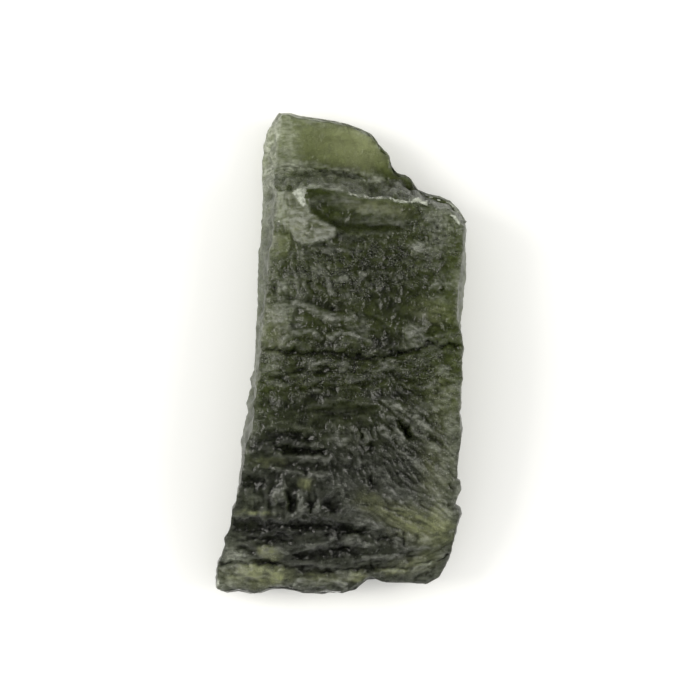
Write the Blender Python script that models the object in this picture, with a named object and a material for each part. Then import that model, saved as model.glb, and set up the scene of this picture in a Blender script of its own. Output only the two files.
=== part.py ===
"""A moldavite: one slab of natural green glass, 30 mm long, lying on its broad back.

The stone is a broken and etched fragment. Its face is a rough plateau that ends in a ledge
near the top, beyond which a smooth thin wedge runs out to the tip. Steep sides lean outwards
from the face to the widest level, and the back is gently rounded with a small flat spot,
on which the stone rests.

Frame: X to the right across the face, Y towards the tip, Z up out of the face. The origin is
under the middle of the stone, on the surface that it rests on.

Places on the face are read off a ruler laid over it: x runs to the right and y runs down from
above the tip, in ticks of a sixteenth of a millimetre at the stone's real size. Heights are in
millimetres above the resting surface.
"""

import bmesh
import bpy
import numpy as np

MM = 0.001
LENGTH = 30.0  # from the tip to the broken lower end, in mm

# The ruler: the ticks that the stone spans each way, and so the size of a tick.
RULER_LEFT, RULER_RIGHT = 215.0, 466.5
RULER_TOP, RULER_BOTTOM = 112.5, 594.5
TICK = LENGTH / (RULER_BOTTOM - RULER_TOP)

# Squares that the block is cut into: across the face, along it and up the sides.
ACROSS, ALONG, UP = 30, 56, 6

# The stone's outline seen from above, as four sides that meet at its corners.
TIP_SIDE = (
    (278, 113.5), (290, 112.5), (302, 116.5), (330, 119.5), (352, 125), (371, 134),
    (380, 146), (389, 155), (391, 164), (398, 175), (406, 174), (413, 180), (414, 187),
    (428, 194), (441, 196.5), (450, 200.5), (457, 207), (464.5, 219),
)
RIGHT_SIDE = (
    (464.5, 219), (465.5, 246), (466.5, 256), (465, 276), (461, 318), (463.5, 350),
    (460.5, 362), (462, 378), (460.5, 392), (461, 403), (459.5, 413), (461.5, 430),
    (456.5, 462), (456.5, 478), (460, 481), (460.5, 489), (455, 499), (455.5, 504),
    (461.5, 512), (457, 526), (453, 545), (446, 564), (437, 578),
)
BROKEN_END = (
    (216, 588), (221, 593.5), (238, 591), (254, 594.5), (272, 588), (288, 588.5),
    (304, 593), (342, 593), (357, 588), (365, 579), (371, 577), (380, 582), (408, 583),
    (413, 584.5), (418, 582), (424, 584.5), (437, 578),
)
LEFT_SIDE = (
    (278, 113.5), (269, 127), (263, 145), (262, 175), (263, 195), (260.5, 246),
    (258, 254), (257.5, 300), (253.5, 368), (249, 376), (251.5, 386), (246, 403),
    (248, 414), (244, 425), (241, 442), (238, 484), (231.5, 512), (230, 526),
    (224, 538), (222, 552), (217, 563), (215, 580), (216, 588),
)

# The sides lean out from the face's rim to the widest level, and tuck in below it. The leans
# are y along the side and then the ticks from the rim to the outline, seen from above.
WIDEST_LEVEL = 1 / 3  # as a share of the way up from the back to the face
LEFT_LEAN = ((113, 6), (132, 14), (225, 14), (350, 9), (430, 9), (478, 3), (500, 1), (590, 1))
RIGHT_LEAN = ((219, 2), (232, 6), (265, 10), (300, 11), (322, 8), (335, 2), (380, 2), (425, 3),
              (500, 1), (512, 3), (578, 1))
END_LEAN = 3.0
TUCK = 4.0
LEFT_DENTS, RIGHT_DENTS, END_DENTS = 3.5, 1.0, 3.5  # ticks, the depth of the sides' dents
RIM_ROUNDING = 0.28  # mm that the face drops at its rim
RIM_WIDTH = 5.0  # ticks

# Spot heights of the face on its thick body: x, y and mm.
BODY_SPOTS = (
    (270, 205, 5.3), (320, 210, 6.0), (390, 215, 5.8), (455, 220, 4.8),
    (262, 260, 5.3), (340, 260, 6.6), (440, 265, 5.9),
    (260, 325, 5.6), (340, 325, 6.9), (450, 325, 5.9),
    (258, 400, 6.1), (340, 400, 7.0), (450, 400, 5.8),
    (248, 470, 6.4), (320, 470, 7.1), (400, 470, 6.1), (455, 470, 5.0),
    (234, 525, 5.6), (300, 525, 6.3), (380, 525, 5.3), (450, 525, 3.9),
    (222, 562, 3.3), (300, 562, 4.5), (380, 560, 4.0), (440, 562, 3.0),
    (220, 595, 1.4), (280, 595, 1.6), (350, 595, 1.7), (425, 590, 1.5),
)
# Spot heights of the thin wedge beyond the ledge.
WEDGE_SPOTS = (
    (268, 125, 3.2), (300, 116, 2.7), (350, 124, 2.2), (375, 138, 2.1),
    (268, 150, 3.6), (310, 148, 2.9), (350, 150, 2.4), (385, 160, 2.3),
    (268, 180, 4.1), (310, 180, 3.6), (360, 180, 3.2), (392, 178, 2.9), (440, 200, 3.6),
)
SPOT_REACH = 42.0  # ticks over which one spot height gives way to the next

# Lines across the face, each as y along x. The ledge climbs from its foot on the wedge to its
# brow on the body, and each groove has its depth and width below.
LEDGE_FOOT = ((255, 169), (300, 168), (330, 171), (346, 170), (358, 174), (371, 187),
              (380, 184), (395, 179), (410, 189), (428, 200), (450, 207), (470, 226))
LEDGE_BROW = ((255, 194), (300, 190), (318, 188.5), (336, 190.5), (365, 198), (400, 203),
              (420, 204), (445, 212), (470, 236))
MAIN_GROOVE = ((210, 345), (262, 347), (280, 350), (330, 353), (360, 357), (390, 353.5),
               (418, 347), (430, 342.5), (450, 343.5), (470, 348))
DARK_EDGE = ((210, 515), (262, 516), (278, 519), (300, 512), (330, 517), (372, 520),
             (400, 524), (470, 520))
LOW_GROOVE = ((210, 561), (262, 560), (285, 564), (330, 567), (372, 566), (405, 566),
              (440, 553), (470, 548))
# The row of squares that follows each line, counted from the broken end.
ROW_LINES = ((LOW_GROOVE, 4), (DARK_EDGE, 9), (MAIN_GROOVE, 29), (LEDGE_BROW, 47),
             (LEDGE_FOOT, 50))

# The back: it is flat around the middle and rises towards the rim by these heights.
FLAT_SPOT = (349, 374, 62, 120)  # centre x and y, and reach across and along, in ticks
BACK_RISE = 0.95  # mm at the rim of the back
TIP_RISE = 0.35  # mm more under the tip
BACK_PITS = 0.34  # mm, the depth of the etched pits on the back

# Scars and pits in the face: x, y, reach along and across in ticks, turn in degrees, depth.
SCARS = (
    (352, 213, 52, 16, 8, 0.60),  # the long finger-shaped scar under the ledge
    (302, 438, 27, 14, 4, 0.48),
    (250, 478, 17, 11, 10, 0.38),
    (292, 500, 9, 17, 0, 0.40),
    (329, 505, 12, 14, 0, 0.40),
    (252, 528, 26, 13, 2, 0.45),
    (322, 529, 44, 12, 4, 0.52),
    (383, 537, 17, 10, 6, 0.34),
    (330, 549, 38, 11, -2, 0.40),
    (244, 549, 14, 9, 6, 0.34),
    (404, 430, 9, 18, -32, 0.34),
    (405, 556, 14, 10, 0, 0.30),
    (438, 322, 18, 22, 0, 0.30),
    (372, 181, 13, 11, 0, 0.40),
    (372, 470, 16, 14, 20, 0.24),
    (366, 436, 14, 10, 20, 0.26),
)
# Mounds that stand out of it.
MOUNDS = (
    (278, 243, 19, 21, 0, 0.38),
    (282, 314, 21, 18, 0, 0.42),
    (318, 313, 34, 11, 22, 0.34),
    (301, 342, 24, 14, -4, 0.36),
    (350, 343, 25, 14, 4, 0.36),
    (411, 334, 16, 14, 30, 0.36),
    (283, 488, 11, 14, 0, 0.30),
    (312, 500, 9, 17, 0, 0.32),
    (268, 549, 16, 11, 8, 0.34),
    (352, 574, 14, 9, -10, 0.28),
    (255, 574, 34, 11, 0, 0.36),
    (320, 585, 26, 10, 0, 0.28),
    (418, 226, 24, 16, 20, 0.30),
    (322, 370, 19, 10, 0, 0.28),
    (385, 366, 15, 10, -12, 0.28),
    (432, 372, 20, 12, 10, 0.28),
    (395, 403, 18, 9, 32, 0.32),
    (425, 425, 18, 9, 34, 0.30),
)
# Grooves: the line, its depth in mm, its width in ticks, and how far its upper side overhangs.
GROOVES = (
    (MAIN_GROOVE, 0.22, 5.0, 0.18),
    (DARK_EDGE, 0.10, 6.0, 0.28),
    (LOW_GROOVE, 0.26, 5.0, 0.12),
    (((255, 300), (285, 296), (305, 303), (330, 310), (350, 318)), 0.30, 7.0, 0.0),
    (((262, 388), (300, 389), (345, 384), (400, 378), (462, 386)), 0.28, 8.0, 0.12),
    (((255, 415), (300, 408), (350, 410), (380, 404)), 0.22, 8.0, 0.0),
    (((240, 459), (300, 462), (345, 470)), 0.22, 8.0, 0.10),
)
LIP_REACH = 26.0  # ticks over which a groove's raised upper side falls away
# Drag lines of flowing glass, which fan out on the lower right: x, y, reach across and along,
# and then the lines' turn in degrees and height in mm. Elsewhere on the body they lie level.
FLOW_FANS = ((412, 440, 75, 95, 44, 0.26), (405, 515, 80, 50, 24, 0.20))
FLOW_HEIGHT = 0.17  # mm
FLOW_SPACING = 13.0  # ticks


def eased(t):
    """t held between 0 and 1, then turned to 3 t^2 - 2 t^3, which starts and ends level."""
    t = np.clip(t, 0.0, 1.0)
    return t * t * (3.0 - 2.0 * t)


def along_line(points, share):
    """The places at these shares of a broken line's length, from its first point to its last."""
    points = np.array(points, float)
    steps = np.hypot(*np.diff(points, axis=0).T)
    run = np.concatenate([[0.0], np.cumsum(steps)]) / steps.sum()
    return np.stack([np.interp(share, run, points[:, 0]), np.interp(share, run, points[:, 1])])


def curve_y(points, x):
    """The y of a line that is given as y along x."""
    points = np.array(points, float)
    return np.interp(x, points[:, 0], points[:, 1])


def outline_patch(u, v):
    """The place on the ruler at u across and v up the stone, from 0 to 1 each.

    It is a Coons patch: what the two facing sides give, plus what the other two give, less
    what the four corners alone give.
    """
    lower, upper = along_line(BROKEN_END, u), along_line(TIP_SIDE, u)
    left, right = along_line(LEFT_SIDE, 1.0 - v), along_line(RIGHT_SIDE, 1.0 - v)
    corners = [np.array(p, float)[:, None] for p in
               (BROKEN_END[0], BROKEN_END[-1], TIP_SIDE[0], TIP_SIDE[-1])]
    between = (1 - v) * lower + v * upper + (1 - u) * left + u * right
    return (between - (1 - u) * (1 - v) * corners[0] - u * (1 - v) * corners[1]
            - (1 - u) * v * corners[2] - u * v * corners[3])


def gradient_noise(x, y, seed):
    """Smooth noise from about -1 to 1 with features one unit apart.

    Each corner of a unit square has a direction from a whole-number hash, and the four slopes
    are mixed by 6 t^5 - 15 t^4 + 10 t^3.
    """
    x0, y0 = np.floor(x), np.floor(y)
    fx, fy = x - x0, y - y0

    def slope(dx, dy):
        h = (x0 + dx).astype(np.int64) * 374761393 + (y0 + dy).astype(np.int64) * 668265263
        h = (h + seed * 974634777) & 0xFFFFFFFF
        h = ((h ^ (h >> 13)) * 1274126177) & 0xFFFFFFFF
        angle = ((h ^ (h >> 16)) & 0xFFFF) * (2 * np.pi / 0x10000)
        return np.cos(angle) * (fx - dx) + np.sin(angle) * (fy - dy)

    tx = fx * fx * fx * (fx * (fx * 6 - 15) + 10)
    ty = fy * fy * fy * (fy * (fy * 6 - 15) + 10)
    low = slope(0, 0) * (1 - tx) + slope(1, 0) * tx
    high = slope(0, 1) * (1 - tx) + slope(1, 1) * tx
    return 1.5 * (low * (1 - ty) + high * ty)


def spot_height(x, y, spots):
    """The mean of the spot heights, each weighted by a bell curve of its distance."""
    weight = height = 0.0
    for spot_x, spot_y, spot_z in spots:
        away = ((x - spot_x) ** 2 + (y - spot_y) ** 2) / (2 * SPOT_REACH**2)
        bell = np.exp(-away) + 1e-9 / (1.0 + away)
        weight = weight + bell
        height = height + bell * spot_z
    return height / weight


def oval(x, y, centre_x, centre_y, reach_x, reach_y, turn):
    """1 at the middle of a turned oval and 0 from its edge on, as (1 - distance^2)^2."""
    angle = np.radians(turn)
    dx, dy = x - centre_x, y - centre_y
    along = dx * np.cos(angle) + dy * np.sin(angle)
    across = dy * np.cos(angle) - dx * np.sin(angle)
    return np.clip(1 - (along / reach_x) ** 2 - (across / reach_y) ** 2, 0, 1) ** 2


def flow_ribs(x, y, turn, seed):
    """Noise drawn out five times along one direction, like the drag lines of flowing glass."""
    angle = np.radians(turn)
    along = x * np.cos(angle) + y * np.sin(angle)
    across = y * np.cos(angle) - x * np.sin(angle)
    return gradient_noise(along / (5 * FLOW_SPACING), across / FLOW_SPACING, seed)


def face_relief(x, y):
    """The face's scars, mounds, grooves and ribs, as mm above its smooth form."""
    relief = 0.16 * gradient_noise(x / 34, y / 24, 3) + 0.13 * gradient_noise(x / 22, y / 16, 4)
    level = eased((y - 250) / 60)
    for *place, turn, height in FLOW_FANS:
        fan = oval(x, y, *place, 0)
        level = level * (1 - fan)
        relief += height * fan * flow_ribs(x, y, turn, 12)
    relief += FLOW_HEIGHT * level * flow_ribs(x, y, 0, 11)
    for *place, depth in SCARS:
        relief -= depth * oval(x, y, *place)
    for *place, height in MOUNDS:
        relief += height * oval(x, y, *place)
    for line, depth, width, lip in GROOVES:
        ends = eased((x - line[0][0]) / 12) * eased((line[-1][0] - x) / 12)
        above = curve_y(line, x) - y
        relief -= depth * ends * np.exp(-((above / width) ** 2))
        relief += lip * ends * np.exp(-np.abs(above) / LIP_REACH) * (above > 0)
    return relief


def face_height(x, y):
    """The face's height: the body and the wedge, joined by the ledge's slope."""
    foot, brow = curve_y(LEDGE_FOOT, x), curve_y(LEDGE_BROW, x)
    climb = np.clip((y - foot) / (brow - foot), 0, 1)
    body = spot_height(x, y, BODY_SPOTS) + face_relief(x, y)
    wedge = spot_height(x, y, WEDGE_SPOTS) + 0.10 * gradient_noise(x / 22, y / 26, 5)
    return wedge + (body - wedge) * climb


def back_height(x, y, rim):
    """The back's height, never under 0: a slow rise towards the rim, and pits that go upwards.

    rim is 0 over the middle of the back and 1 on its edge.
    """
    centre_x, centre_y, reach_x, reach_y = FLAT_SPOT
    away = np.hypot((x - centre_x) / reach_x, (y - centre_y) / reach_y)
    rise = BACK_RISE * (0.45 * eased((away - 0.75) / 1.1) + 0.55 * eased((rim - 0.5) / 0.5))
    rise += TIP_RISE * eased((230 - y) / 110)
    pits = BACK_PITS * gradient_noise(x / 28, y / 20, 21)
    pits += 0.4 * BACK_PITS * gradient_noise(x / 15, y / 12, 22)
    return np.maximum(rise + pits * eased((away - 0.3) / 0.6), 0.0)


def row_shift(u, v):
    """How far each row moves along the stone, so that the rows in ROW_LINES follow their lines.

    A line's own row moves onto it, and the rows to either side move by a share that falls
    evenly to nothing at the next such row.
    """
    rows = [0.0] + [row / ALONG for _, row in ROW_LINES] + [1.0]
    height = RULER_BOTTOM - RULER_TOP
    shift = 0.0
    for before, own, after, (line, _) in zip(rows, rows[1:], rows[2:], ROW_LINES):
        reached = np.full_like(u, own)
        for _ in range(6):
            x, y = outline_patch(u, reached)
            reached = np.clip(reached + (y - curve_y(line, x)) / height, 0, 1)
        nearness = np.minimum((v - before) / (own - before), (after - v) / (after - own))
        shift = shift + (reached - own) * np.clip(nearness, 0, 1)
    return shift


def stone_points(a, b, c):
    """Where the points of a block from -1 to 1 each way go, in mm: a across, b up to the tip, c up.

    A point's level sets how far it is drawn in from the outline, the patch gives its place on
    the ruler, and its height lies between the back's and the face's there.
    """
    u, v, level = (a + 1) / 2, (b + 1) / 2, (c + 1) / 2
    width, height = RULER_RIGHT - RULER_LEFT, RULER_BOTTOM - RULER_TOP
    left_y, right_y = (line[-1][1] - v * (line[-1][1] - line[0][1])
                       for line in (LEFT_SIDE, RIGHT_SIDE))
    lean = np.clip((level - WIDEST_LEVEL) / (1 - WIDEST_LEVEL), 0, 1)
    tuck = TUCK * np.clip((WIDEST_LEVEL - level) / WIDEST_LEVEL, 0, 1) ** 2
    dents = eased(np.abs(level - WIDEST_LEVEL) / 0.2)
    left_dent = LEFT_DENTS * np.abs(gradient_noise(left_y / 26, 3.0 * level, 31))
    right_dent = RIGHT_DENTS * np.abs(gradient_noise(right_y / 26, 3.0 * level, 32))
    end_dent = END_DENTS * np.abs(gradient_noise(u * width / 26, 3.0 * level, 33))
    left = (curve_y(LEFT_LEAN, left_y) * lean + tuck + dents * left_dent) / width
    right = (curve_y(RIGHT_LEAN, right_y) * lean + tuck + dents * right_dent) / width
    end = (END_LEAN * lean + tuck + dents * end_dent) / height
    u = left + u * (1 - left - right)
    v = v + row_shift(u, v)
    v = v + end * ((1 - v) ** 4 - v**4)
    x, y = outline_patch(u, v)
    inwards = np.minimum((1 - np.abs(a)) * width / 2, (1 - np.abs(b)) * height / 2)
    face = face_height(x, y) - RIM_ROUNDING * np.exp(-inwards / RIM_WIDTH)
    back = back_height(x, y, np.maximum(np.abs(a), np.abs(b)))
    return np.stack([x * TICK, -y * TICK, back + (face - back) * level], axis=1)


def glass_material():
    """Bottle-green natural glass with an etched, satin surface."""
    glass = bpy.data.materials.new("bottle_green_glass")
    glass.use_nodes = True
    shader = glass.node_tree.nodes["Principled BSDF"]
    shader.inputs["Base Color"].default_value = (0.045, 0.055, 0.022, 1.0)
    shader.inputs["Roughness"].default_value = 0.42
    shader.inputs["Metallic"].default_value = 0.0
    shader.inputs["IOR"].default_value = 1.49
    return glass


def gridded_block():
    """A block from -1 to 1 each way with the squares that ACROSS, ALONG and UP give."""
    block = bmesh.new()
    bmesh.ops.create_grid(block, x_segments=ACROSS, y_segments=ALONG, size=1.0)
    grown = bmesh.ops.extrude_face_region(block, geom=block.faces[:])
    raised = [v for v in grown["geom"] if isinstance(v, bmesh.types.BMVert)]
    bmesh.ops.translate(block, verts=raised, vec=(0, 0, 1))
    for vert in set(block.verts) - set(raised):
        vert.co.z = -1
    uprights = [e for e in block.edges if abs(e.verts[0].co.z - e.verts[1].co.z) > 1]
    bmesh.ops.subdivide_edges(block, edges=uprights, cuts=UP - 1, use_grid_fill=True)
    bmesh.ops.recalc_face_normals(block, faces=block.faces[:])
    return block


def moldavite():
    """The whole stone, one piece: the gridded block with each point put in its place."""
    mesh = bpy.data.meshes.new("moldavite")
    block = gridded_block()
    block.to_mesh(mesh)
    block.free()
    places = np.empty(len(mesh.vertices) * 3)
    mesh.vertices.foreach_get("co", places)
    placed = stone_points(*places.reshape(-1, 3).T) * MM
    low, high = placed.min(axis=0), placed.max(axis=0)
    placed -= (*((low + high) / 2)[:2], low[2])
    placed *= LENGTH * MM / (high - low)[1]
    mesh.vertices.foreach_set("co", placed.ravel())
    mesh.update()
    mesh.shade_smooth()
    mesh.set_sharp_from_angle(angle=np.radians(38))
    mesh.materials.append(glass_material())
    stone = bpy.data.objects.new("moldavite", mesh)
    bpy.context.scene.collection.objects.link(stone)
    return stone


for leftover in list(bpy.data.objects):
    bpy.data.objects.remove(leftover)
moldavite()
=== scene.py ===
import itertools

import bpy
import numpy as np
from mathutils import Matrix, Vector


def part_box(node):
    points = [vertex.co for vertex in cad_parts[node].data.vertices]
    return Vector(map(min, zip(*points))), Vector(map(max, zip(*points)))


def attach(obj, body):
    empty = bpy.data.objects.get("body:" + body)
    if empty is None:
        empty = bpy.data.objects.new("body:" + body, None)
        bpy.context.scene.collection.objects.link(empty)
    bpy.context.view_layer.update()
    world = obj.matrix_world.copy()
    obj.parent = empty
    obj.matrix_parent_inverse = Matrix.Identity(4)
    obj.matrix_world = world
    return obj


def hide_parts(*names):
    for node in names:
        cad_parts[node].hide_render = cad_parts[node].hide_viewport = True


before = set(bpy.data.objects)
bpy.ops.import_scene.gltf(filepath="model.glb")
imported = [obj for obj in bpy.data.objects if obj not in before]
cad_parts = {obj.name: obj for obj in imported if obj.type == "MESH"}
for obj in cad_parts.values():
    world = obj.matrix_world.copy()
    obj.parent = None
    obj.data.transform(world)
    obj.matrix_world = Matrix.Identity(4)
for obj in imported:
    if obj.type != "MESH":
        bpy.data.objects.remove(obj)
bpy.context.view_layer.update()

# Camera
# It looks straight down on the stone, which lies on its back with the tip towards the top of
# the picture. The lens is long, so that the stone's upright sides hardly spread.
MM = 0.001
STONE_LENGTH = 30.0  # mm
STONE_LEFT, STONE_RIGHT = 215.0, 466.5  # ticks, which are also the picture's pixels
STONE_TOP, STONE_END = 112.5, 594.5
TICK = STONE_LENGTH / (STONE_END - STONE_TOP)  # mm
PICTURE_TICKS = 700
LENS, SENSOR = 200.0, 36.0  # mm
NEAREST, FARTHEST = 0.01, 5.0  # m, between which the camera sees
OUTLINE_HEIGHT = 2.3  # mm, the level at which the stone is widest

camera = bpy.data.objects.new("camera", bpy.data.cameras.new("camera"))
bpy.context.scene.collection.objects.link(camera)
bpy.context.scene.camera = camera
camera.data.lens, camera.data.sensor_width = LENS, SENSOR
camera.data.clip_start, camera.data.clip_end = NEAREST, FARTHEST
camera.location = (
    (PICTURE_TICKS - STONE_LEFT - STONE_RIGHT) / 2 * TICK * MM,
    (STONE_TOP + STONE_END - PICTURE_TICKS) / 2 * TICK * MM,
    (OUTLINE_HEIGHT + PICTURE_TICKS * TICK * LENS / SENSOR) * MM,
)


# The stone's form
# A moldavite is natural glass, one piece of it, broken from a larger body and then etched in
# the ground. Its outline is four sides that meet at corners, laid on a ruler of ticks: x runs
# to the right and y down from above the tip. Heights are in mm above the floor.
TIP_SIDE = (
    (278, 113.5), (290, 112.5), (300, 116), (313, 117.5), (330, 119.5), (342, 122), (352, 125),
    (362, 129.5), (371, 134), (377, 140), (381, 147), (389, 155), (390.5, 163), (394, 171),
    (399, 175), (406, 174), (412, 179), (414, 187), (420, 190), (428, 194), (441, 196.5),
    (449, 200), (456, 206), (461, 212), (464.5, 219),
)
RIGHT_SIDE = (
    (464.5, 219), (465.5, 230), (465, 249), (466.5, 256), (465.5, 275), (463.5, 290),
    (460.5, 320), (461, 335), (463.5, 352), (460.5, 361), (460.5, 370), (462, 378),
    (460.5, 385), (461, 402), (459.5, 412), (461.5, 430), (459, 450), (456.5, 465),
    (456.5, 478), (460, 480), (460.5, 489), (457, 494), (455, 504), (459.5, 507), (461.5, 513),
    (457, 526), (456, 533), (452, 549), (448, 560), (443, 570), (437, 578),
)
BROKEN_END = (
    (216, 589), (221, 593.5), (228, 593), (236, 591), (246, 592), (254, 594.5), (262, 592),
    (272, 588), (288, 588.5), (304, 593), (317, 594), (330, 592), (342, 593), (355, 589),
    (360, 585), (365, 579), (371, 577), (378, 580.5), (385, 583.5), (408, 583), (412.5, 584.5),
    (418, 582), (424, 584.5), (430, 580), (437, 578),
)
LEFT_SIDE = (
    (278, 113.5), (273, 122), (269, 127), (266, 135), (263, 145), (262, 175), (263, 195),
    (261, 225), (260.5, 246), (258.5, 252), (257.5, 300), (255, 350), (253.5, 370),
    (249, 378), (251.5, 386), (249, 396), (246, 403), (248, 412), (244, 425), (241, 441),
    (241.5, 455), (238, 488), (236, 498), (232, 507), (231.5, 515), (230, 526), (224, 537),
    (225, 543), (222, 552), (217.5, 560), (215, 578), (216, 589),
)
WIDEST_LEVEL = 1 / 3  # as a share of the way up from the back to the face
# How far the left and the right side lean in at the face: y and ticks.
LEFT_LEAN = (
    (113, 6), (132, 14), (225, 14), (340, 8), (370, 7), (430, 9), (478, 2.5), (500, 0.5), (590, 1),
)
RIGHT_LEAN = (
    (219, 2), (232, 6), (265, 10), (300, 11), (322, 8), (332, 2), (350, 3), (358, 0), (375, 1),
    (382, 3), (425, 3), (432, 1), (500, 1), (512, 3), (540, 2), (578, 1),
)
END_LEAN = 3.0
TUCK = 4.0  # ticks, how far the sides are drawn in at the back
DENTS, DENT_LENGTH, DENT_TIERS = 3.5, 26, 3.0  # ticks deep and long, and how many one above another
RIGHT_DENTS = 0.2  # the share of that depth on the right side
# Heights of the body, and of the wedge at the tip, without their relief: x, y and mm.
BODY_SPOTS = (
    (270, 205, 5.3), (320, 210, 6.0), (390, 215, 5.8), (455, 220, 4.8),
    (262, 260, 5.3), (340, 260, 6.6), (440, 265, 5.9),
    (260, 325, 5.6), (340, 325, 6.9), (450, 325, 5.9),
    (258, 400, 6.1), (340, 400, 7.0), (450, 400, 5.8),
    (248, 470, 6.4), (320, 470, 7.1), (400, 470, 6.1), (455, 470, 5.0),
    (234, 525, 5.6), (300, 525, 6.3), (380, 525, 5.3), (450, 525, 3.9),
    (222, 562, 3.3), (300, 562, 4.5), (380, 560, 4.0), (440, 562, 3.0),
    (220, 595, 1.4), (280, 595, 1.6), (350, 595, 1.7), (425, 590, 1.5),
)
WEDGE_SPOTS = (
    (268, 125, 3.2), (300, 116, 2.7), (350, 124, 2.2), (375, 138, 2.1),
    (268, 150, 3.6), (310, 148, 2.9), (350, 150, 2.4), (385, 160, 2.3),
    (268, 180, 4.1), (310, 180, 3.6), (360, 180, 3.2), (392, 178, 2.9), (440, 200, 3.6),
)
SPOT_REACH = 42.0  # ticks


def eased(t):
    """t held between 0 and 1, then turned to 3 t^2 - 2 t^3, which starts and ends level."""
    t = np.clip(t, 0.0, 1.0)
    return t * t * (3.0 - 2.0 * t)


def along_line(points, share):
    """The places at these shares of a broken line's length, from its first point to its last."""
    points = np.array(points, float)
    steps = np.hypot(*np.diff(points, axis=0).T)
    run = np.concatenate([[0.0], np.cumsum(steps)]) / steps.sum()
    return np.stack([np.interp(share, run, points[:, 0]), np.interp(share, run, points[:, 1])])


def curve_y(points, x):
    """The y of a line that is given as y along x."""
    points = np.array(points, float)
    return np.interp(x, points[:, 0], points[:, 1])


def outline_patch(u, v):
    """The place at u across and v up the stone: a Coons patch between the four sides.

    It is what two facing sides give, plus what the other two give, less what the corners give.
    """
    lower, upper = along_line(BROKEN_END, u), along_line(TIP_SIDE, u)
    left, right = along_line(LEFT_SIDE, 1.0 - v), along_line(RIGHT_SIDE, 1.0 - v)
    corners = [np.array(p, float).reshape(2, 1, 1) for p in
               (BROKEN_END[0], BROKEN_END[-1], TIP_SIDE[0], TIP_SIDE[-1])]
    between = (1 - v) * lower + v * upper + (1 - u) * left + u * right
    return (between - (1 - u) * (1 - v) * corners[0] - u * (1 - v) * corners[1]
            - (1 - u) * v * corners[2] - u * v * corners[3])


def spot_height(x, y, spots):
    """The mean of the spot heights, weighted by a bell curve of the distance and a trace more."""
    weight = height = 0.0
    for spot_x, spot_y, spot_z in spots:
        away = ((x - spot_x) ** 2 + (y - spot_y) ** 2) / (2 * SPOT_REACH**2)
        bell = np.exp(-away) + 1e-9 / (1.0 + away)
        weight = weight + bell
        height = height + bell * spot_z
    return height / weight


def hashed(corner, seed):
    """An even spread of whole numbers from 0 to 65535, one for each corner of a whole-number grid."""
    h = sum(c * k for c, k in zip(corner, (374761393, 668265263, 362437)))
    h = (h + seed * 974634777) & 0xFFFFFFFF
    h = ((h ^ (h >> 13)) * 1274126177) & 0xFFFFFFFF
    return (h ^ (h >> 16)) & 0xFFFF


def gradient_noise(x, y, seed):
    """Smooth noise from about -1 to 1 with features one unit apart.

    Each corner of a unit square slopes in a hashed direction, and the four slopes are mixed by
    6 t^5 - 15 t^4 + 10 t^3.
    """
    x0, y0 = np.floor(x).astype(np.int64), np.floor(y).astype(np.int64)
    fx, fy = x - x0, y - y0

    def slope(dx, dy):
        angle = hashed((x0 + dx, y0 + dy), seed) * (2 * np.pi / 0x10000)
        return np.cos(angle) * (fx - dx) + np.sin(angle) * (fy - dy)

    tx = fx * fx * fx * (fx * (fx * 6 - 15) + 10)
    ty = fy * fy * fy * (fy * (fy * 6 - 15) + 10)
    low = slope(0, 0) * (1 - tx) + slope(1, 0) * tx
    high = slope(0, 1) * (1 - tx) + slope(1, 1) * tx
    return 1.5 * (low * (1 - ty) + high * ty)


def bowls(places, seed):
    """Bowls about one unit across that meet in sharp ridges, from 0 in a bowl to 1 on a ridge.

    It is 1.3 times the squared distance to the nearest of the points that are scattered one to a
    unit square or cube, by whether each place has two or three numbers, and is held at 1.
    """
    cell = np.floor(places).astype(np.int64)
    nearest = np.full(places.shape[1:], 9.0)
    for step in itertools.product((-1, 0, 1), repeat=len(places)):
        corner = [c + s for c, s in zip(cell, step)]
        gap = [hashed(corner, seed + i) / 0x10000 + c - p
               for i, (c, p) in enumerate(zip(corner, places))]
        nearest = np.minimum(nearest, sum(g * g for g in gap))
    return np.minimum(nearest * 1.3, 1.0)


def turned(x, y, centre_x, centre_y, turn):
    """x and y from a centre, along and across a direction turned by so many degrees."""
    angle = np.radians(turn)
    dx, dy = x - centre_x, y - centre_y
    return (dx * np.cos(angle) + dy * np.sin(angle), dy * np.cos(angle) - dx * np.sin(angle))


def oval(x, y, centre_x, centre_y, reach_x, reach_y, turn=0):
    """1 at the middle of a turned oval and 0 from its edge on, as (1 - distance^2)^2."""
    along, across = turned(x, y, centre_x, centre_y, turn)
    return np.clip(1 - (along / reach_x) ** 2 - (across / reach_y) ** 2, 0, 1) ** 2


def pool(x, y, centre_x, centre_y, reach_x, reach_y, turn=0):
    """1 over most of a turned oval, easing to 0 at its edge."""
    along, across = turned(x, y, centre_x, centre_y, turn)
    return eased((1 - np.hypot(along / reach_x, across / reach_y)) / 0.4)


def off_line(x, y, points):
    """The distance to a broken line, and how far along it the nearest place is, from 0 to 1."""
    nearest, share = np.full(np.shape(x), 1e9), np.zeros(np.shape(x))
    points = np.array(points, float)
    lengths = np.hypot(*np.diff(points, axis=0).T)
    run = np.concatenate([[0.0], np.cumsum(lengths)])
    for i, length in enumerate(lengths):
        (ax, ay), (bx, by) = points[i], points[i + 1]
        t = np.clip(((x - ax) * (bx - ax) + (y - ay) * (by - ay)) / length**2, 0, 1)
        away = np.hypot(x - ax - t * (bx - ax), y - ay - t * (by - ay))
        share = np.where(away < nearest, (run[i] + t * length) / run[-1], share)
        nearest = np.minimum(away, nearest)
    return nearest, share


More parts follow.
